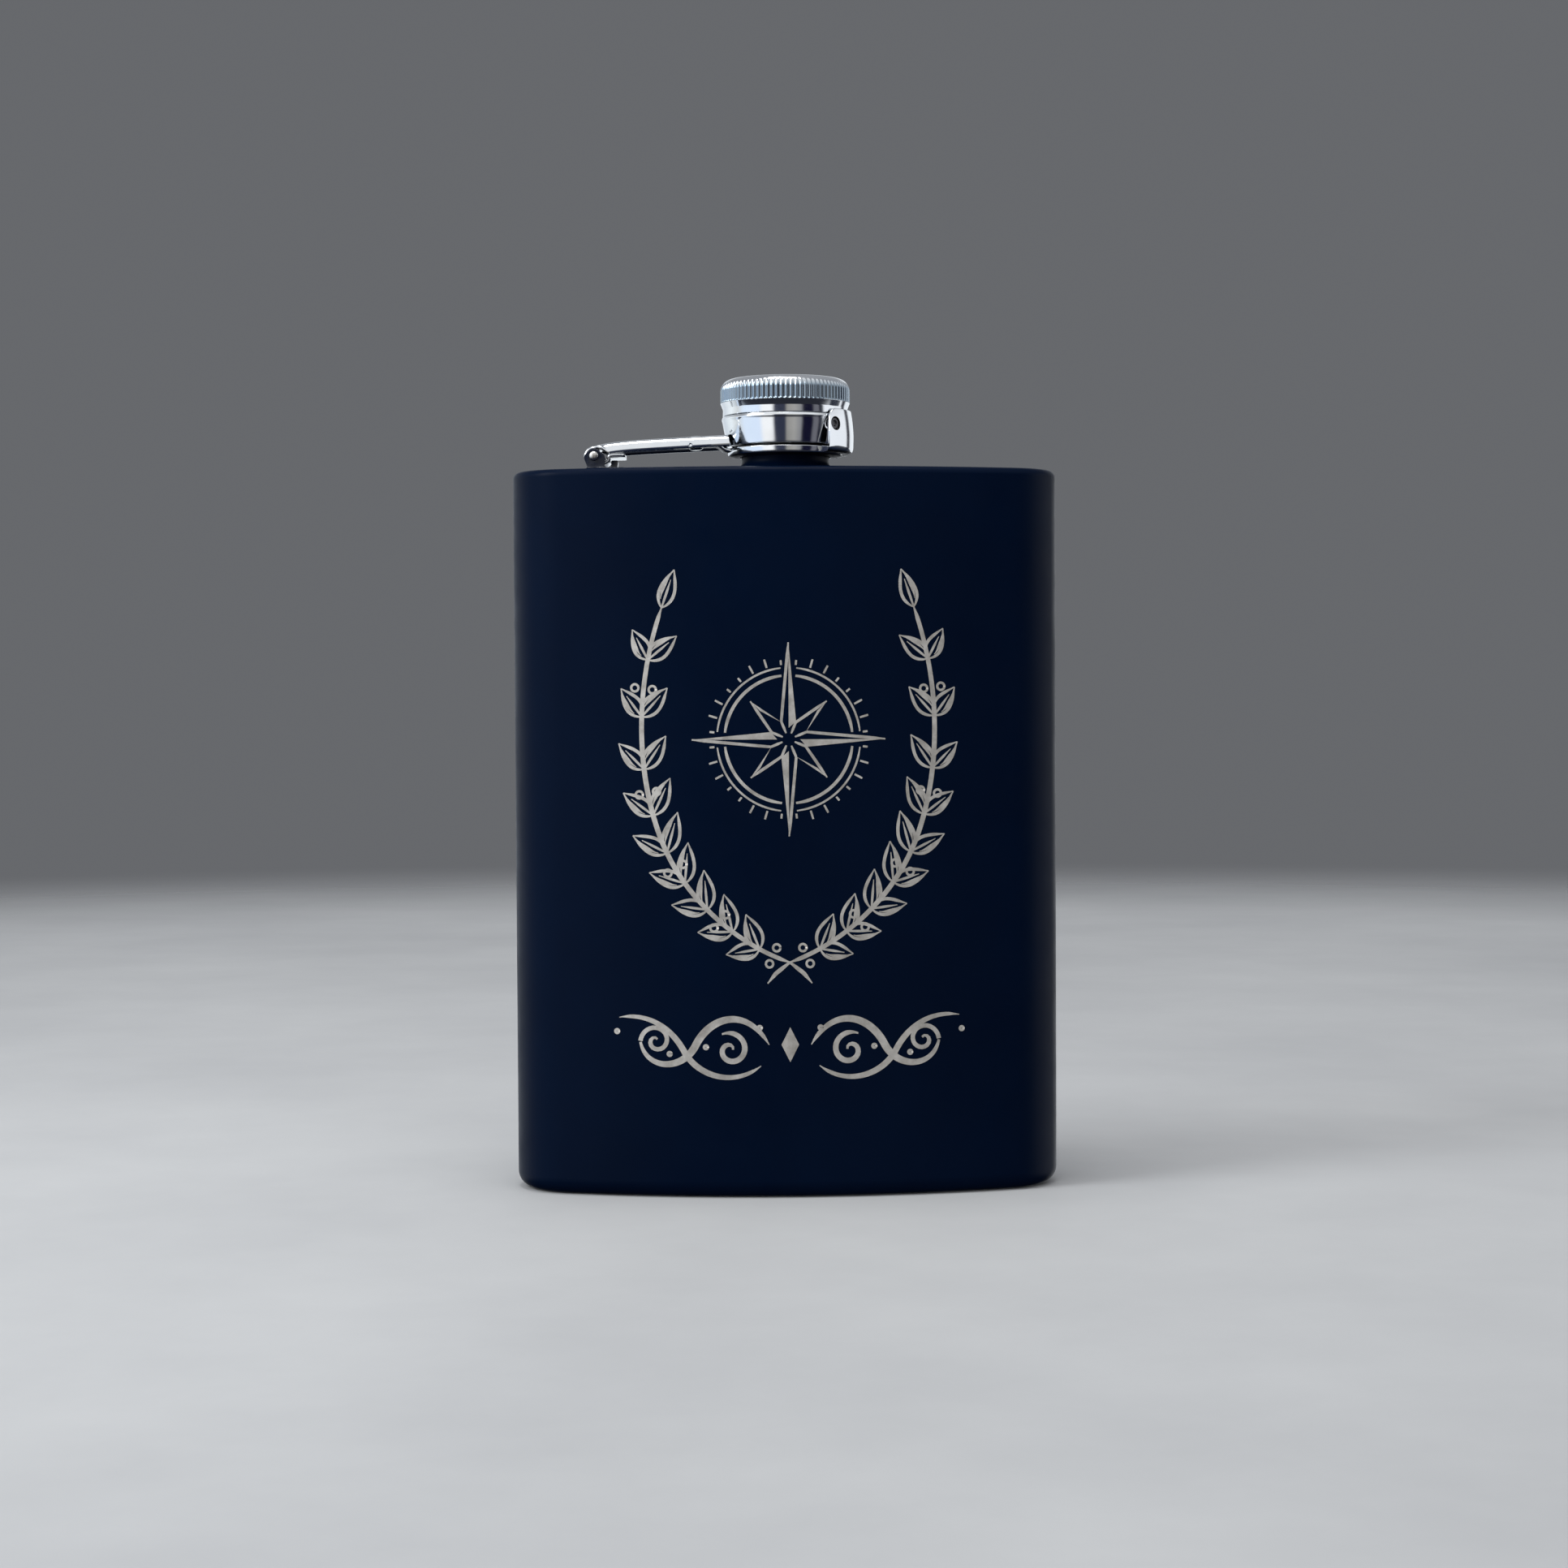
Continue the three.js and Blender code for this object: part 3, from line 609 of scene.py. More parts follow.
def neck():
    """A painted neck that flares into the plate, with a bare steel thread above it and a bare bore."""
    low = span("neck_spout")[0][2]
    outside = [(NECK_BORE, low), (NECK_TUBE, low), (NECK_TUBE, FOOT), (8.5, FOOT),
               (8.42, FOOT + 0.16)]
    flare = arc(8.75, FOOT + 1.45, 1.2, 256, 180, 10)
    above = rounded([(NECK_RADIUS, 127.2), (NECK_RADIUS, 128.85, 0.2), (NECK_ROOT, 129.15, 0.15),
                     (NECK_ROOT, 129.3)])
    wall = [(NECK_ROOT, z) for z in np.arange(129.35, NECK_RIM - 0.45, 0.06)]
    rim = rounded([(NECK_ROOT, NECK_RIM - 0.4), (NECK_ROOT, NECK_RIM, 0.35), (NECK_BORE, NECK_RIM, 0.25),
                   (NECK_BORE, NECK_RIM - 0.6)])
    bore = [(NECK_BORE, z) for z in np.linspace(NECK_RIM - 1.2, low + 1, 6)]
    profile = [*outside, *flare, *above, *wall, *rim, *bore]
    ridge = thread(NECK_ROOT, NECK_CREST, NECK_THREAD_Z)
    piece = revolve("neck", profile, COAT, SATIN, sides=144, wave=ridge)
    for face in piece.data.polygons:
        centre = face.center / MM
        in_bore = math.hypot(centre.x, centre.y - LID_Y) < NECK_BORE + 0.3
        face.material_index = 1 if in_bore or centre.z > 128.95 else 0
    return settle(piece, "flask", "powder_coat", "neck_spout")


# ---- hinge


def lid_place(piece, x=0.0):
    """Moves a piece's mesh from its own axes to x along the lid's centre line."""
    piece.data.transform(Matrix.Translation(Vector((x, LID_Y, 0)) * MM))


def hinge_bracket():
    """A folded bracket: a foot on the plate, two ears with the pin's holes, and a rest between them."""
    foot_top = span("hinge_bracket")[0][2] + 0.2
    foot_half = EAR_OUTER + 0.15
    pad = [(-1.4, FOOT), (5.3, FOOT), (5.1, foot_top), (-1.25, foot_top)]
    front = rounded([(-1.0, FOOT), (1.8, FOOT), (1.98, HINGE_Z - 0.4, 0.5), (1.75, HINGE_Z + 0.3, 0.4)])
    crown = arc(0, HINGE_Z, 1.25, 38, 148, 18)
    back = rounded([crown[-1], (-1.62, HINGE_Z + 0.15, 0.35), (-1.72, HINGE_Z - 0.4, 0.4), (-1.0, FOOT)])
    ear = [*front, *crown, *back[1:-1]]
    rest = rounded([(2.9, FOOT), (3.9, FOOT), (4.1, REST_TOP, 0.25), (2.9, REST_TOP, 0.25), (2.9, FOOT)])
    bracket = make("hinge_bracket_piece", *prism(pad, -foot_half, foot_half), GLOSSY_COAT)
    for low, high in ((-EAR_OUTER, -EAR_INNER), (EAR_INNER, EAR_OUTER)):
        boolean(bracket, make("ear", *prism(ear, low, high), GLOSSY_COAT), "UNION")
    boolean(bracket, make("rest", *prism(rest[:-1], -REST_HALF, REST_HALF), GLOSSY_COAT), "UNION")
    hole, past = PIN_RADIUS + 0.06, 6
    bore = revolve("bore", [(0, -past), (hole, -past), (hole, past), (0, past)], GLOSSY_COAT, sides=40,
                   at=(0, 0, HINGE_Z), axis=ALONG_Y)
    boolean(bracket, bore, "DIFFERENCE")
    bevel(bracket, 0.12, 3, 50)
    shade(bracket, 40)
    lid_place(bracket, HINGE_X)
    return settle(bracket, "flask", "powder_coat", "hinge_bracket")


def hinge_pin():
    """A pin with a low domed head at each end."""
    top = rounded([
        (PIN_RADIUS, PIN_HEAD - 0.6), (PIN_RADIUS, PIN_HEAD), (0.8, PIN_HEAD, 0.08),
        (0.78, PIN_HEAD + 0.24, 0.2), (0.45, PIN_HEAD + 0.48, 0.3), (0, PIN_HEAD + 0.55)], 6)
    bottom = [(r, -z) for r, z in top][::-1]
    piece = revolve("hinge_pin_piece", [*bottom, *top], SATIN, sides=48,
                    at=(HINGE_X, LID_Y, HINGE_Z), axis=ALONG_Y)
    return settle(piece, "flask", "polished_steel", "hinge_pin")


# ---- arm


def arm_matrix():
    """From the arm's own line, x from the pin to the cap, to the row frame."""
    return Matrix.Translation(Vector((HINGE_X, LID_Y, HINGE_Z)) * MM) @ Matrix.Rotation(-ARM_CLIMB, 4, "Y")


def arm_height(x, up):
    """A height above the arm's line, at x from the lid's centre."""
    return HINGE_Z + (x - HINGE_X) * math.tan(ARM_CLIMB) + up / math.cos(ARM_CLIMB)


def arm_half(x):
    """Half the arm's width, at x from the pin."""
    return float(np.interp(x, [2.6, 20], [3.85, 4.7]))


def strap_path():
    """The strap's side view from the cap to its tail, and how many points belong to its web and curl."""
    start = KNUCKLE_RADIUS - ARM_SHEET / 2
    web = []
    for x in np.linspace(ARM_END, -0.1, 130):
        risen = 1 - math.exp(-max(x, 0) / 2.9)
        web.append((x, start + (ARM_TOP - KNUCKLE_RADIUS) * risen))
    curl = arc(0, 0, start, 97, 282, 44)
    x, z = curl[-1]
    tail = bezier([(x, z), (x + 0.9, z + 0.12), (2.42, -1.15), (2.5, -0.45), (2.55, -0.02), (2.7, 0.04),
                   (3.3, 0.04), (4.0, 0.04), (4.7, 0.0), (TAIL_END, -0.02)], 48)[1:]
    return np.array([*web, *curl, *map(tuple, tail)]), len(web), len(curl)


def strap_section(half, folded):
    """The strap's section: flat where folded is 0, and a channel with leaning flanges where it is 1."""
    corner, lip = 0.85, 0.6 * folded + 0.002
    bend = rad(74) * folded
    flat = half - 0.1 * folded - ARM_SHEET / 2 - corner * math.sin(bend)
    side = [(flat * k, 0.0) for k in np.linspace(0, 1, 9)[1:]]
    for k, a in enumerate(np.linspace(0, bend, 17)[1:]):
        side.append((flat + corner * math.sin(a) + 1e-4 * k, corner * (1 - math.cos(a))))
    edge_y, edge_d = side[-1]
    for k in np.linspace(0, 1, 5)[1:]:
        side.append((edge_y + lip * k * math.cos(bend), edge_d + lip * k * math.sin(bend)))
    other_side = [(-y, d) for y, d in side[::-1]]
    loop = strip(np.array([*other_side, (0.0, 0.0), *side]), ARM_SHEET, 5)
    crown = 0.16 * (1 - np.clip(np.abs(loop[:, 0]) / half, 0, 1) ** 2) * folded
    return loop[:, 0], loop[:, 1] - crown


def arm_strap():
    """A strip curled round the pin, whose edges fold down into a rounded channel towards the cap."""
    path, web, curl = strap_path()
    reach = -HINGE_X / math.cos(ARM_CLIMB)
    tangent = np.gradient(path, axis=0)
    tangent /= np.linalg.norm(tangent, axis=1)[:, None]
    inward = np.stack([-tangent[:, 1], tangent[:, 0]], 1)
    rings = []
    for i, ((px, pz), (nx, nz)) in enumerate(zip(path, inward)):
        u = px if i < web else 0.0
        half = arm_half(u)
        if i > web + curl:
            to_corner = 1 - min(1.0, max(0.0, TAIL_END - px) / 0.5)
            half -= 0.5 * (1 - math.sqrt(1 - to_corner ** 2))
        y, depth = strap_section(half, float(smooth_step(u, 0.3, 2.6)))
        along = np.full(len(y), px)
        if i < web:
            end = reach - np.sqrt(ARM_END_RADIUS ** 2 - y ** 2)
            along = along + (end - ARM_END) * float(smooth_step(u, 12, ARM_END))
        rings.append(np.stack([along + nx * depth, y, pz + nz * depth], 1))
    piece = make("arm_strap_piece", *loft(rings, path_closed=False), BRIGHT, edge=50)
    crimp_x, crimp_z = 16.6, 1.1
    half = arm_half(crimp_x)
    dent = [(0, half - 0.28), (0.18, half - 0.24), (0.4, half), (0.46, half + 0.8), (0, half + 0.8)]
    for side in (-1, 1):
        punch = revolve("punch", dent, BRIGHT, sides=28, at=(crimp_x, 0, crimp_z),
                        axis=Matrix.Rotation(rad(-90 * side), 4, "X"))
        boolean(piece, punch, "DIFFERENCE")
    shade(piece, 42)
    piece.data.transform(arm_matrix())
    return settle(piece, "arm", "polished_steel", "arm_strap")


def arm_rivet():
    """A rivet with a low head above the strap and another under the tongue."""
    top = ARM_TOP + 0.17
    under = TONGUE_LEVEL - 0.43
    profile = rounded([
        (0, under - 0.42), (0.9, under - 0.38, 0.3), (1.25, under - 0.04, 0.1), (0.8, under), (0.8, top),
        (1.25, top, 0.1), (0.9, top + 0.2, 0.3), (0, top + 0.28)], 5)
    piece = revolve("arm_rivet_piece", profile, BRIGHT, sides=48, at=(RIVET_X, 0, 0))
    piece.data.transform(arm_matrix())
    return settle(piece, "arm", "polished_steel", "arm_rivet")


def yoke_ear():
    """The ear round the ring's far side: a dished wall with a rounded lip, lower towards its two ends."""
    top = span("arm_yoke")[1][2]
    count = 160
    inner = resampled(rounded([
        (9.2, RING_TOP), (10.6, RING_TOP, 0.5), (11.2, 129.2, 0.5), (11.36, 131.0, 0.8),
        (11.2, 133.6, 0.8), (11.13, top)], 8), count)
    outer = resampled(rounded([
        (11.42, top), (11.66, 133.4, 0.8), (11.86, 131.0, 0.9), (11.78, 128.3, 0.45),
        (11.3, 127.6, 0.35), (9.2, 127.5)], 8), count)
    rings = []
    for angle in np.linspace(-EAR_REACH, EAR_REACH, 150):
        away = min(1.0, max(0.0, (abs(angle) - EAR_REACH + EAR_CORNER) / EAR_CORNER))
        share = 0.32 + 0.68 * (1 - away ** 3.0) ** (1 / 3.0)
        kept = max(4, int(round((count - 1) * share)))
        inside = resampled(inner[:kept + 1], 36)
        outside = resampled(outer[count - 1 - kept:], 36)
        lip_centre = (inside[-1] + outside[0]) / 2
        rise = inside[-1] - inside[-2]
        rise /= np.linalg.norm(rise)
        half = np.linalg.norm(outside[0] - inside[-1]) / 2
        across = (outside[0] - inside[-1]) / (2 * half)
        lip = []
        for t in np.linspace(0, math.pi, 9)[1:-1]:
            lip.append(lip_centre - across * half * math.cos(t) + rise * half * 0.8 * math.sin(t))
        loop = np.concatenate([inside, lip, outside])
        a = rad(angle)
        rings.append(np.stack([loop[:, 0] * math.cos(a), loop[:, 0] * math.sin(a), loop[:, 1]], 1))
    return make("ear", *loft(rings, path_closed=False), BRIGHT)


def yoke_tongue():
    """A strip with a rounded end, joggled from the ring up under the strap."""
    end_x, rise_x = -19.5, -11.9
    path = resampled(rounded([
        (end_x, arm_height(end_x, TONGUE_LEVEL)), (rise_x, arm_height(rise_x, TONGUE_LEVEL), 0.6),
        (-10.3, 128.25, 0.6), (-9.0, 128.22)], 8), 60)
    rings = []
    for i, (x, z) in enumerate(path):
        half = TONGUE_HALF * math.sqrt(max(0.02, 1 - max(0.0, 1 - i / 8) ** 2.5))
        flat = half - 0.35
        section = strip(np.array([(-flat, 0.0), (0.0, 0.0), (flat, 0.0)]), TONGUE_SHEET, 5)
        rings.append(np.stack([np.full(len(section), x), section[:, 0], z + section[:, 1]], 1))
    return make("tongue", *loft(rings, path_closed=False), BRIGHT)


def pivot_turn(side):
    """Turns a piece from the Z axis to lie along the front (-1) or rear (1) pivot."""
    return Matrix.Rotation(side * PIVOT_AZIMUTH, 4, "Z") @ Matrix.Rotation(rad(90), 4, "Y")


def drill_pivots(piece, hole, y=0.0):
    """Cuts both pivots' holes, from a profile of (radius, distance from the lid's axis) points."""
    for side in (-1, 1):
        drill = revolve("drill", hole, BRIGHT, sides=40, at=(0, y, PIVOT_Z), axis=pivot_turn(side))
        boolean(piece, drill, "DIFFERENCE")


def arm_yoke():
    """The ring under the cap, its ear round the far side, and its tongue. Its underside gets painted shade.
    """
    low = span("arm_yoke")[0][2]
    washer = rounded([
        (RING_BORE, RING_TOP), (RING_BORE, low, 0.1), (8.5, low, 0.3), (9.8, 127.3, 0.45),
        (RING_RADIUS, 127.95, 0.5), (RING_RADIUS, RING_TOP, 0.12), (RING_BORE, RING_TOP)], 8)
    ring = revolve("arm_yoke_piece", washer[:-1], BRIGHT, sides=160, at=(0, 0, 0))
    boolean(ring, yoke_ear(), "UNION")
    boolean(ring, yoke_tongue(), "UNION")
    drill_pivots(ring, [(0, 10.8), (1.14, 10.8), (1.14, 11.45), (1.24, 11.95), (1.24, 13), (0, 13)])
    shade(ring, 35)
    # Painted shade: the faces that look down take the near-black steel.
    ring.data.materials.append(PAINTED_SHADE)
    for face in ring.data.polygons:
        if face.normal.z < -0.55:
            face.material_index = len(ring.data.materials) - 1
    lid_place(ring)
    return settle(ring, "arm", "polished_steel", "arm_yoke")


def pivot_rivet(node, side):
    """A hollow rivet in the ear, whose nose sits in the collar's wall."""
    nose = arc(10.6, 0, 0.6, 180, 96, 8)
    shank = rounded([
        (11.2, 0.62), (11.3, 0.92, 0.1), (11.5, 0.92, 0.1), (11.45, 0.5, 0.1), (11.2, 0.42, 0.1),
        (11.15, 0)], 4)
    profile = [(r, z) for z, r in [*nose, *shank]]
    # Its near-black steel is painted shade, the dark of the recess in the ear.
    piece = revolve(node + "_piece", profile, PAINTED_SHADE, sides=48, at=(0, LID_Y, PIVOT_Z),
                    axis=pivot_turn(side))
    return settle(piece, "arm", "satin_steel", node)


# ---- collar and cap


def collar():
    """A tapered ring with a rolled lip, and a hole for each pivot's nose."""
    low, top = COLLAR_LOW, COLLAR_TOP
    bore, lip_bore = 9.35, 9.1
    profile = rounded([
        (bore, low + 1.1), (bore, low, 0.15), (10.0, low, 0.15), (10.2, 129.9, 0.9), (10.6, 131.7, 1.0),
        (10.86, 133.2, 0.5), (11.0, 133.62, 0.12), (10.86, top - 0.1, 0.05), (10.7, top, 0.1),
        (lip_bore, top, 0.15), (lip_bore, 133.6, 0.15), (10.2, 133.6, 0.2), (10.0, 131.7, 0.6),
        (9.55, 130.1, 0.6), (bore, low + 1.1)], 6)[:-1]
    piece = revolve("cap_collar_piece", profile, BRIGHT, sides=192)
    drill_pivots(piece, [(0, 9), (0.85, 9), (0.85, 12), (0, 12)], LID_Y)
    shade(piece, 35)
    return settle(piece, "collar", "polished_steel", "cap_collar")


def knurl(angle, radius, z):
    """Ribs round the cap's head, which run out on its shoulder."""
    valley = float(smooth_step(0.5 - 0.5 * math.cos(RIBS * angle), 0.12, 0.88))
    run_in = smooth_step(z, RIB_FOOT, RIB_FOOT + 0.2)
    run_out = 1 - smooth_step(z, RIB_END - 0.75, RIB_END)
    outside = radius > CAP_RADIUS - 1.2
    return radius - np.where(outside, RIB_DEPTH * valley * (run_in * run_out), 0)


def cap_shell():
    """A spun shell: a plain skirt, a head with ribs, and a rounded shoulder into a flat top."""
    r, top, shoulder = CAP_RADIUS, CAP_TOP, CAP_SHOULDER
    low = COLLAR_TOP + 0.06
    skirt_inner, skirt_outer = 10.35, 10.8
    skirt = [(skirt_inner, low + 0.5), *map(tuple, rounded([
        (skirt_inner, low + 0.4), (skirt_inner, low, 0.1), (skirt_outer, low, 0.12), (10.76, 135.35, 0.15),
        (11.14, 136.32, 0.1), (r, 136.46, 0.08), (r, 136.66)], 6))]
    side = [(r, z) for z in np.linspace(136.8, top - shoulder, 8)]
    bend = arc(r - shoulder, top - shoulder, shoulder, 2, 88, 16)
    face = [(x, top) for x in np.linspace(r - shoulder - 0.3, 0, 8)]
    under = [(x, top - CAP_SHEET) for x in np.linspace(0, r - shoulder, 5)]
    inner = arc(r - shoulder, top - shoulder, shoulder - CAP_SHEET, 88, 0, 6)
    wall = [(r - CAP_SHEET, 136.8), (skirt_inner, 136.1)]
    profile = skirt + side + bend + face + under + inner + wall
    piece = revolve("cap_shell_piece", profile, RIBBED, sides=RIBS * 8, wave=knurl)
    shade(piece, 60)
    return settle(piece, "cap", "polished_steel", "cap_shell")


def cap_core():
    """The moulded insert: a head in the cap, and a shank with the thread inside it."""
    low = span("cap_core")[0][2]
    start = rounded([(0, 135.5), (8.3, 135.5), (8.3, 134.2, 0.15), (CORE_ROOT, 134.0, 0.1),
                     (CORE_ROOT, 133.9)])
    wall = [(CORE_ROOT, z) for z in np.arange(133.84, low + 0.35, -0.06)]
    rest = rounded([
        (CORE_ROOT, low + 0.3), (CORE_ROOT + 0.05, low, 0.15), (SHANK_RADIUS, low, 0.15),
        (SHANK_RADIUS, 132.0), (SHANK_RADIUS, 134.55), (10.1, 134.55, 0.1), (10.1, 139.2, 0.3),
        (9.6, 139.75, 0.3), (0, 139.75)])
    piece = revolve("cap_core_piece", [*start, *wall, *rest], PLASTIC, sides=144,
                    wave=thread(CORE_ROOT, CORE_CREST, CORE_THREAD_Z))
    return settle(piece, "cap", "cap_core", "cap_core")


def cap_seal():
    """A silicone disc at the bottom of the insert, with a raised edge that lands on the neck's rim."""
    profile = rounded([(0, 134.16), (5.4, 134.16, 0.2), (5.7, 134.1, 0.2), (8.05, 134.1, 0.25),
                       (8.1, 135.42, 0.3), (0, 135.42)])
    piece = revolve("cap_seal_piece", profile, SILICONE, sides=96)
    return settle(piece, "cap", "seal", "cap_seal")


def retaining_ring():
    """A ring on the insert's shank, which keeps the collar on."""
    low, high = span("retaining_ring")[0][2], span("retaining_ring")[1][2]
    inner, outer = 8.98, 9.5
    profile = rounded([
        (inner, (low + high) / 2), (inner, low, 0.1), (outer, low, 0.12), (outer, high, 0.12),
        (inner, high, 0.1), (inner, (low + high) / 2)], 4)[:-1]
    piece = revolve("retaining_ring_piece", profile, SATIN, sides=96)
    return settle(piece, "cap", "satin_steel", "retaining_ring")


# ---- engraved ornament


class Engraving:
    """Strokes on the flask's front, each a thin closed ribbon that follows the curve of the face."""

    proud = 0.022
    sunk = 0.05
    layer = 0.0006
    layers = 24

    def __init__(self):
        self.verts, self.faces, self.count = [], [], 0

    def on_face(self, x, z, out):
        return (x, ARC_CENTRE_Y - math.sqrt((FRONT_RADIUS + out) ** 2 - x * x), z)

    def ribbon(self, left, right):
        """A closed ribbon between two edges, on a level of its own so that crossing strokes don't flicker."""
        out = self.proud + self.layer * (self.count % self.layers)
        self.count += 1
        start = len(self.verts)
        for (lx, lz), (rx, rz) in zip(left, right):
            self.verts += [self.on_face(lx, lz, out), self.on_face(rx, rz, out),
                           self.on_face(rx, rz, -self.sunk), self.on_face(lx, lz, -self.sunk)]
        last = len(self.verts) - 4
        for a in range(start, last, 4):
            for j in range(4):
                k = (j + 1) % 4
                self.faces.append((a + j, a + k, a + 4 + k, a + 4 + j))
        self.faces.append((start + 3, start + 2, start + 1, start))
        self.faces.append((last, last + 1, last + 2, last + 3))

    def stroke(self, points, width=0.62, start=0.25, end=0.25, swell=0.0, step=0.45):
        """A line along points, thinning to start and end, and swelling between them."""
        points = np.asarray(points, float)
        total = np.linalg.norm(np.diff(points, axis=0), axis=1).sum()
        line = resampled(points, max(6, int(total / step)))
        s = np.linspace(0, 1, len(line))
        taper = min(0.45, 2.2 / total)
        thin = np.minimum(start + (1 - start) * smooth_step(s, 0, taper),
                          end + (1 - end) * smooth_step(1 - s, 0, taper))
        half = (width * thin + swell * np.sin(math.pi * s)) / 2
        along = np.gradient(line, axis=0)
        along /= np.linalg.norm(along, axis=1)[:, None] + 1e-9
        normal = np.stack([-along[:, 1], along[:, 0]], 1)
        self.ribbon(line + normal * half[:, None], line - normal * half[:, None])

    def both(self, points, **style):
        """The same stroke on both sides of the middle line."""
        points = np.asarray(points, float)
        self.stroke(points, **style)
        self.stroke(points * [-1, 1], **style)

    def rings(self, x, z, radius, width):
        """A small ring on each side of the middle line."""
        angle = np.linspace(0, 2 * math.pi, 24)
        for centre in ((x, z), (-x, z)):
            outer, inner = [on_circle(*centre, r, angle) for r in (radius + width / 2, radius - width / 2)]
            self.ribbon(outer, inner)

    def wedge(self, base_left, base_right, tip):
        """A solid pointed shape from a base to a tip."""
        s = np.linspace(0, 0.985, 14)[:, None]
        left = np.array(base_left) * (1 - s) + np.array(tip) * s
        right = np.array(base_right) * (1 - s) + np.array(tip) * s
        self.ribbon(left, right)


def leaf_outline(base, angle, length, width, side):
    """One edge of a pointed leaf, from its base to its tip."""
    s = np.linspace(0, 1, 16)
    across = side * width / 2 * np.sin(math.pi * s ** 0.8) * (1 - 0.25 * s)
    along = length * s
    c, d = math.cos(angle), math.sin(angle)
    return np.stack([base[0] + along * c - across * d, base[1] + along * d + across * c], 1)


def leaf(engraving, base, angle, length, width):
    """A leaf on both sides of the middle line: one half open, the other shaded, with a midrib."""
    open_edge = leaf_outline(base, angle, length, width, 1)
    shaded_edge = leaf_outline(base, angle, length, width, -1)
    rib = leaf_outline(base, angle, length, 0.0, 1)
    inner = 0.62 * shaded_edge + 0.38 * rib
    lines = ((open_edge, 0.55, 0.5, 0.35), (shaded_edge, 0.55, 0.5, 0.35), (rib[:12], 0.42, 0.7, 0.3),
             (inner[3:13], 0.5, 0.2, 0.2))
    for mirror in ([1, 1], [-1, 1]):
        for line, width, start, end in lines:
            engraving.stroke(line * mirror, width, start, end, step=0.35)


def compass(engraving, x, z, long, short):
    """An eight-pointed star in two rings, each point half solid and half open."""
    centre = np.array([x, z])
    for i in range(8):
        is_long = i % 2 == 0
        direction = math.pi / 2 + i * math.pi / 4
        tip = on_circle(x, z, long if is_long else short, direction)
        waist = long * (0.2 if is_long else 0.19)
        corners = [on_circle(x, z, waist, direction + s * math.pi / 8) for s in (-1, 1)]
        root = centre + (tip - centre) * (0.12 if is_long else 0.75)
        engraving.wedge(corners[0], root, tip)
        engraving.stroke([corners[1], tip], width=0.5, start=0.9, end=0.5)
        inward = centre + (corners[1] - centre) * 0.35
        engraving.stroke([corners[1], inward], width=0.45, start=0.9, end=0.6)
    gap = 0.11
    for radius, width in ((long * 0.66, 0.55), (long * 0.74, 0.35)):
        for i in range(4):
            angles = np.linspace(i * math.pi / 2 + gap, (i + 1) * math.pi / 2 - gap, 40)
            engraving.stroke(on_circle(x, z, radius, angles), width=width, start=0.7, end=0.7)
    for i in range(32):
        angle = (i + 0.5) * math.pi / 16
        reach = long * (0.82 if i % 4 in (0, 3) else 0.86)
        tick = [on_circle(x, z, radius, angle) for radius in (long * 0.77, reach)]
        engraving.stroke(tick, width=0.36, start=0.9, end=0.9, step=0.2)


def spiral(x, z, radius, turns, start, direction):
    """A curl that winds in to its centre, as a list of points from the outside."""
    s = np.linspace(0, 1, 40)
    a = start + direction * 2 * math.pi * turns * s
    return on_circle(x, z, radius * (1 - 0.86 * s), a)


def engraving():
    """A compass star inside two leafy sprigs, with a scroll below them."""
    e = Engraving()
    compass(e, 0.0, 78.5, 16.5, 9.2)
    stem = bezier([(0.0, 40.5), (7.5, 43.0), (16.0, 49.5), (20.5, 58.5), (25.0, 67.5), (27.5, 84.0),
                   (21.5, 101.0)], 80)
    e.both(stem, width=0.7, start=0.4, end=0.35, swell=0.15)
    heading = np.arctan2(*np.gradient(stem, axis=0).T[::-1])
    for k, i in enumerate(range(9, 78, 8)):
        size = 8.4 - 0.25 * abs(k - 4)
        leaf(e, stem[i], heading[i] - rad(38), size * 0.78, 3.0)
        leaf(e, stem[i], heading[i] + rad(40), size * 0.86, 3.1)
    leaf(e, stem[-1], heading[-1], 6.8, 2.9)
    for i in range(5, 76, 16):
        side = np.array([-math.sin(heading[i]), math.cos(heading[i])])
        for s in (-1, 1):
            e.rings(*(stem[i] + side * 1.5 * s), 0.62, 0.4)
    e.both([(0.0, 40.5), (2.4, 38.6), (3.8, 36.9)], width=0.7, start=0.6, end=0.3)

    level = 26.4
    for side in (-1, 1):
        e.wedge((-1.5, level), (1.5, level), (0.0, level + 3.0 * side))
    sweep = bezier([(3.6, 0.0), (7.5, 6.8), (13.5, 4.8), (16.0, 0.2), (18.2, -4.6), (24.6, -4.6),
                    (25.6, 0.4)], 60) + [0, level]
    e.both(sweep, width=0.55, start=0.3, end=0.8, swell=0.75)
    e.both(spiral(22.9, level + 0.6, 2.7, 1.35, 0.0, 1), width=0.75, start=1.0, end=0.5)
    e.both(spiral(10.2, level - 0.9, 3.1, 1.3, rad(62), 1), width=0.75, start=0.4, end=0.5, swell=0.2)
    counter = bezier([(5.0, -3.6), (9.5, -7.2), (15.5, -5.6), (18.0, -1.4), (19.8, 2.2), (23.6, 5.6),
                      (29.2, 4.6)], 60) + [0, level]
    e.both(counter, width=0.5, start=0.3, end=0.25, swell=0.55)
    for x, rise in ((5.2, 2.9), (14.4, -0.4), (20.6, -1.6), (29.6, 2.2)):
        e.rings(x, level + rise, 0.30, 0.46)
    piece = make("engraved_ornament", e.verts, e.faces, MARKED, edge=30, weld=1e-9)
    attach(piece, "flask")
    return piece


# ---- build

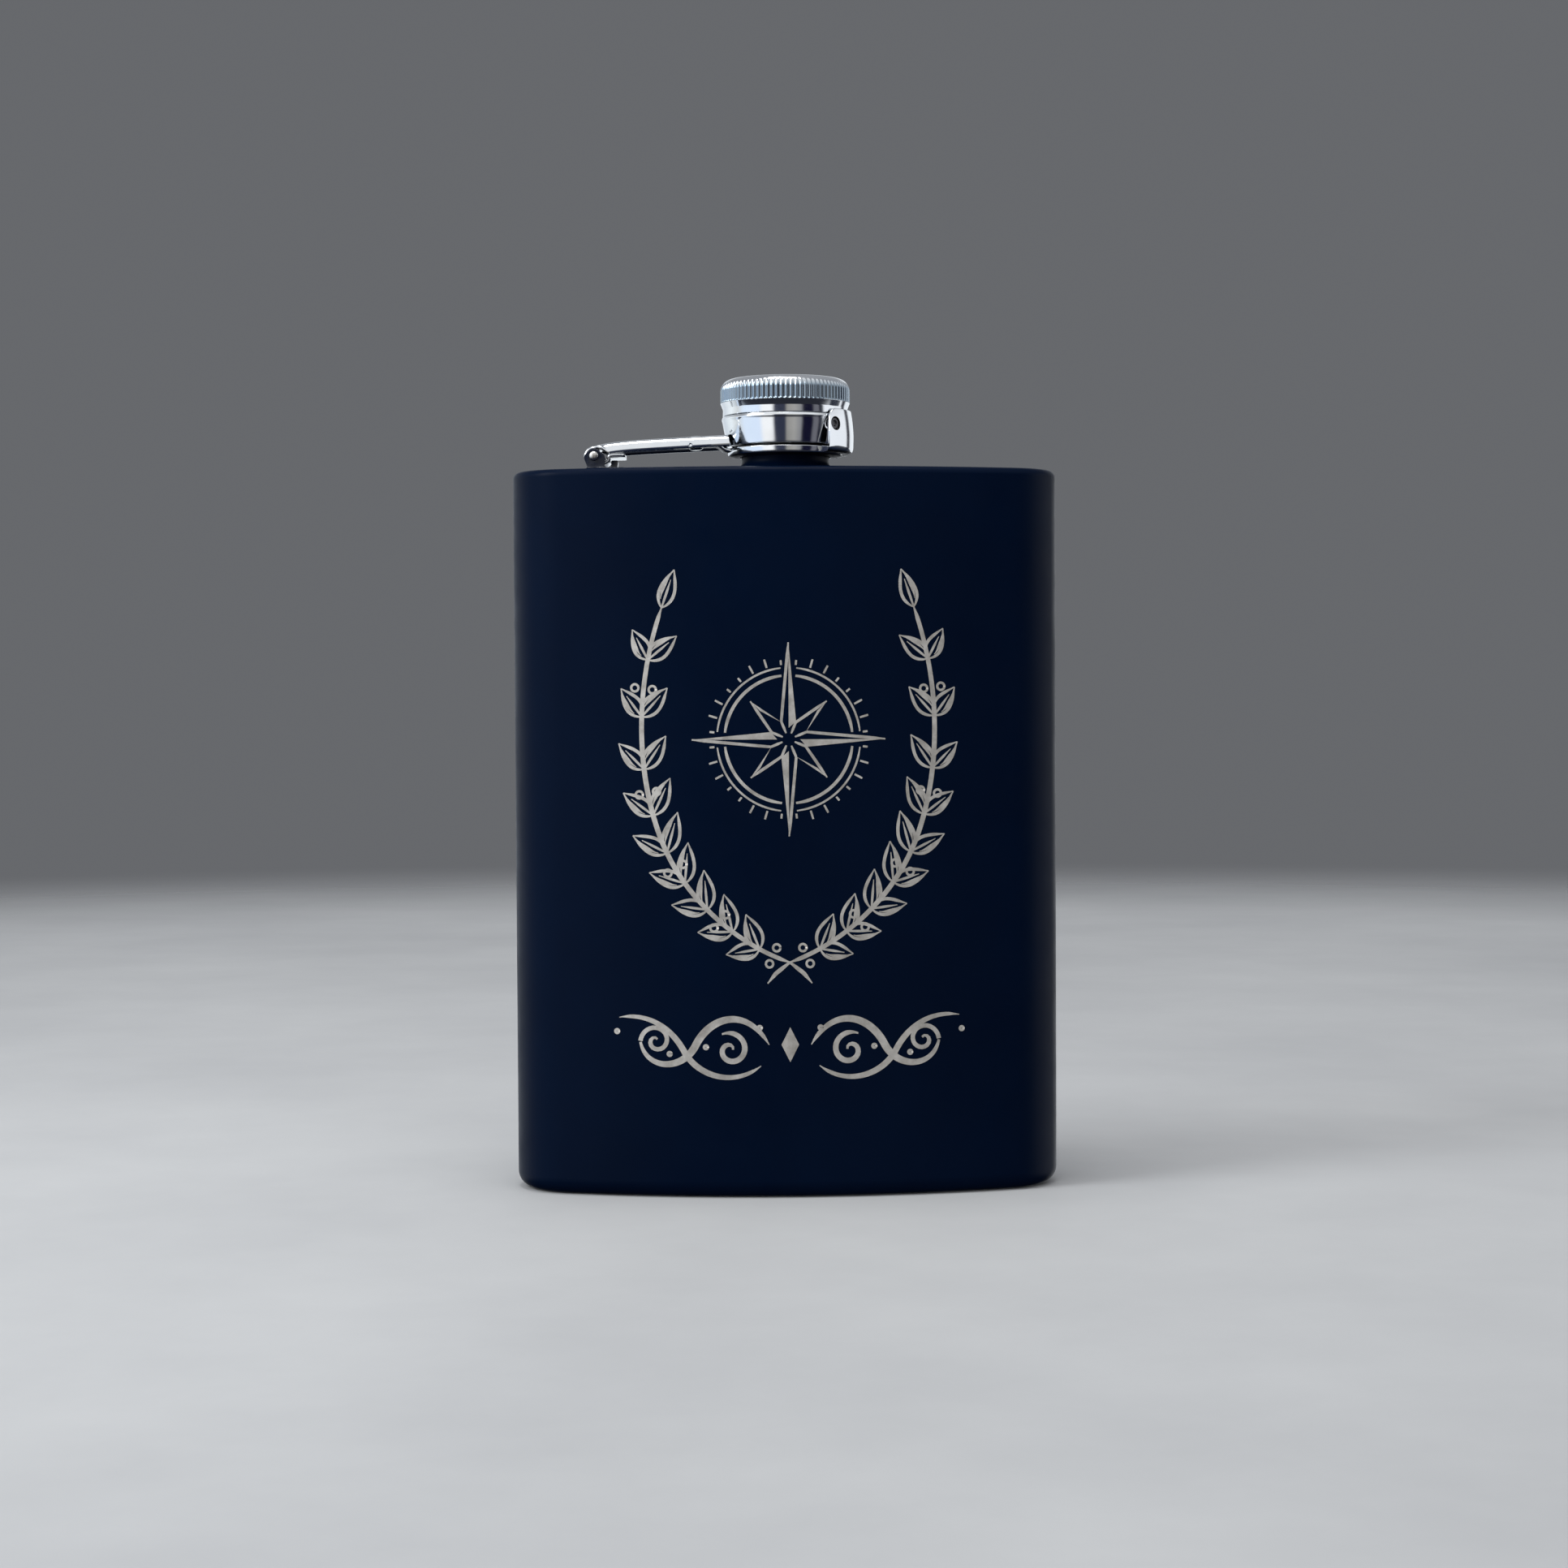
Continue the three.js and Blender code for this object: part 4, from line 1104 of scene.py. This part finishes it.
body_shell()
top_plate()
base_plate()
neck()
hinge_bracket()
hinge_pin()
arm_strap()
arm_rivet()
arm_yoke()
pivot_rivet("pivot_rivet_front", -1)
pivot_rivet("pivot_rivet_rear", 1)
collar()
cap_shell()
cap_core()
cap_seal()
retaining_ring()
engraving()

# ---- studio


def floor():
    """A round pale table top that fades out at its rim."""
    radius, fade_from = 950, 560
    m, tree, shader = new_material("floor")
    v = place(tree)
    mottle = noise(tree, v, 9, 6, 0.62)
    vary(tree, shader, "Base Color", mottle, (0.46, 0.465, 0.475), (0.54, 0.545, 0.55))
    shader.inputs["Roughness"].default_value = 0.7
    shader.inputs["Specular IOR Level"].default_value = 0.25
    add_bumps(tree, shader, (noise(tree, v, 700, 3), 0.12, 0.15))
    length = add(tree, "VectorMath", {0: v})
    length.operation = "LENGTH"
    away = add(tree, "MapRange", {"Value": length.outputs["Value"], "From Min": fade_from * MM,
                                  "From Max": radius * MM})
    away.interpolation_type = "SMOOTHSTEP"
    clear = add(tree, "BsdfTransparent", {})
    mix = add(tree, "MixShader", {"Fac": away.outputs["Result"], 1: shader.outputs["BSDF"],
                                  2: clear.outputs["BSDF"]})
    feed(tree, tree.nodes["Material Output"].inputs["Surface"], mix.outputs["Shader"])
    rim = [(x, y, 0) for x, y in on_circle(0, 0, radius, rim_angles(128))]
    obj = make("floor", rim, [tuple(range(len(rim)))], m)
    obj.visible_glossy = False


def softbox(name, at, target, width, height, power, colour=(1, 1, 1)):
    """A rectangular light, its places in millimetres and its power in watts."""
    light = bpy.data.lights.new(name, "AREA")
    light.shape, light.size, light.size_y = "RECTANGLE", width * MM, height * MM
    light.energy, light.color = power, colour
    obj = bpy.data.objects.new(name, light)
    bpy.context.scene.collection.objects.link(obj)
    obj.location = Vector(at) * MM
    obj.rotation_euler = (Vector(target) - Vector(at)).to_track_quat("-Z", "Y").to_euler()
    obj.visible_camera = False


# The panels round the studio: degrees from the viewer's side round to the right, then a colour.
STUDIO = (
    (-180, 0.72, 0.76, 0.8), (-150, 0.6, 0.65, 0.7), (-120, 0.85, 0.9, 0.92), (-100, 0.66, 0.68, 0.68),
    (-84, 0.72, 0.82, 0.95), (-52, 0.7, 0.8, 0.95), (-44, 0.92, 0.92, 0.92), (-26, 0.95, 0.95, 0.95),
    (-21, 0.03, 0.035, 0.06), (-2, 0.03, 0.035, 0.06), (2, 0.3, 0.29, 0.27), (16, 0.36, 0.35, 0.33),
    (28, 0.24, 0.24, 0.25), (33, 0.006, 0.006, 0.02), (50, 0.006, 0.006, 0.02), (54, 0.13, 0.13, 0.15),
    (62, 0.14, 0.14, 0.16), (66, 0.008, 0.008, 0.02), (71, 0.02, 0.025, 0.035), (76, 0.85, 0.87, 0.9),
    (124, 0.8, 0.82, 0.85), (128, 0.05, 0.05, 0.06), (136, 0.05, 0.05, 0.06), (141, 0.8, 0.83, 0.86),
    (180, 0.72, 0.76, 0.8),
)


def world():
    """A studio of tall soft panels: broad and cool on the left, dark in front, narrow ones on the right."""
    w = bpy.data.worlds.new("studio")
    w.use_nodes = True
    tree = w.node_tree
    coords = add(tree, "TexCoord", {}).outputs["Generated"]
    axes = add(tree, "SeparateXYZ", {"Vector": coords})
    towards = maths(tree, "MULTIPLY", axes.outputs["Y"], -1)
    turn = maths(tree, "ARCTAN2", axes.outputs["X"], towards)
    share = maths(tree, "MULTIPLY_ADD", turn, 1 / (2 * math.pi), 0.5)
    brightest = max(max(stop[1:]) for stop in STUDIO)
    stops = [(0.5 + a / 360, tuple(c / brightest for c in rgb)) for a, *rgb in STUDIO]
    panels = ramp(tree, share, *stops)
    rise = maths(tree, "MULTIPLY_ADD", axes.outputs["Z"], 0.5, 0.5)
    depth = maths(tree, "MULTIPLY_ADD", axes.outputs["Y"], 0.5, 0.5)
    overhead = ramp(tree, depth, (0.30, (0.80, 0.81, 0.82)), (0.52, (0.30, 0.31, 0.33)))
    above = ramp(tree, rise, (0.62, 0.0), (0.74, 1.0))
    ground = ramp(tree, rise, (0.28, 1.0), (0.33, 0.0))
    room = blend(tree, above, panels, overhead)
    surround = blend(tree, ground, room, (0.02, 0.022, 0.03, 1))
    studio = tree.nodes["Background"]
    studio.inputs["Strength"].default_value = 1.15
    feed(tree, studio.inputs["Color"], surround)
    backdrop = add(tree, "Background", {"Color": (0.135, 0.14, 0.15, 1)})
    seen = add(tree, "LightPath", {}).outputs["Is Camera Ray"]
    choose = add(tree, "MixShader", {"Fac": seen, 1: studio.outputs["Background"],
                                     2: backdrop.outputs["Background"]})
    feed(tree, tree.nodes["World Output"].inputs["Surface"], choose.outputs["Shader"])
    bpy.context.scene.world = w


def lights():
    """A cool key light high on the left, and a weak one overhead."""
    aim = (0, 0, 70)
    softbox("key_left", (-480, -230, 430), aim, 240, 340, 2.0, (0.95, 0.98, 1.0))
    softbox("top", (-40, -60, 620), aim, 260, 220, 1.2)


def camera():
    """Stands nearly square on to the front, a little to its left and above its mid height."""
    distance, eye = 500, 86.95
    aside = -0.45
    pitch, yaw, roll = rad(1.89), rad(1.6), rad(0.3)
    data = bpy.data.cameras.new("camera")
    data.sensor_width = 36
    data.lens = 65.6
    data.clip_start = 0.01
    data.dof.use_dof = False
    obj = bpy.data.objects.new("camera", data)
    bpy.context.scene.collection.objects.link(obj)
    obj.location = Vector((aside - distance * math.sin(yaw), -distance * math.cos(yaw), eye)) * MM
    aimed = Matrix.Rotation(-yaw, 4, "Z") @ Matrix.Rotation(rad(90) - pitch, 4, "X")
    obj.rotation_euler = (aimed @ Matrix.Rotation(-roll, 4, "Z")).to_euler()
    bpy.context.scene.camera = obj


floor()
world()
lights()
camera()
scene = bpy.context.scene
scene.view_settings.view_transform = "Standard"
scene.cycles.use_denoising = True
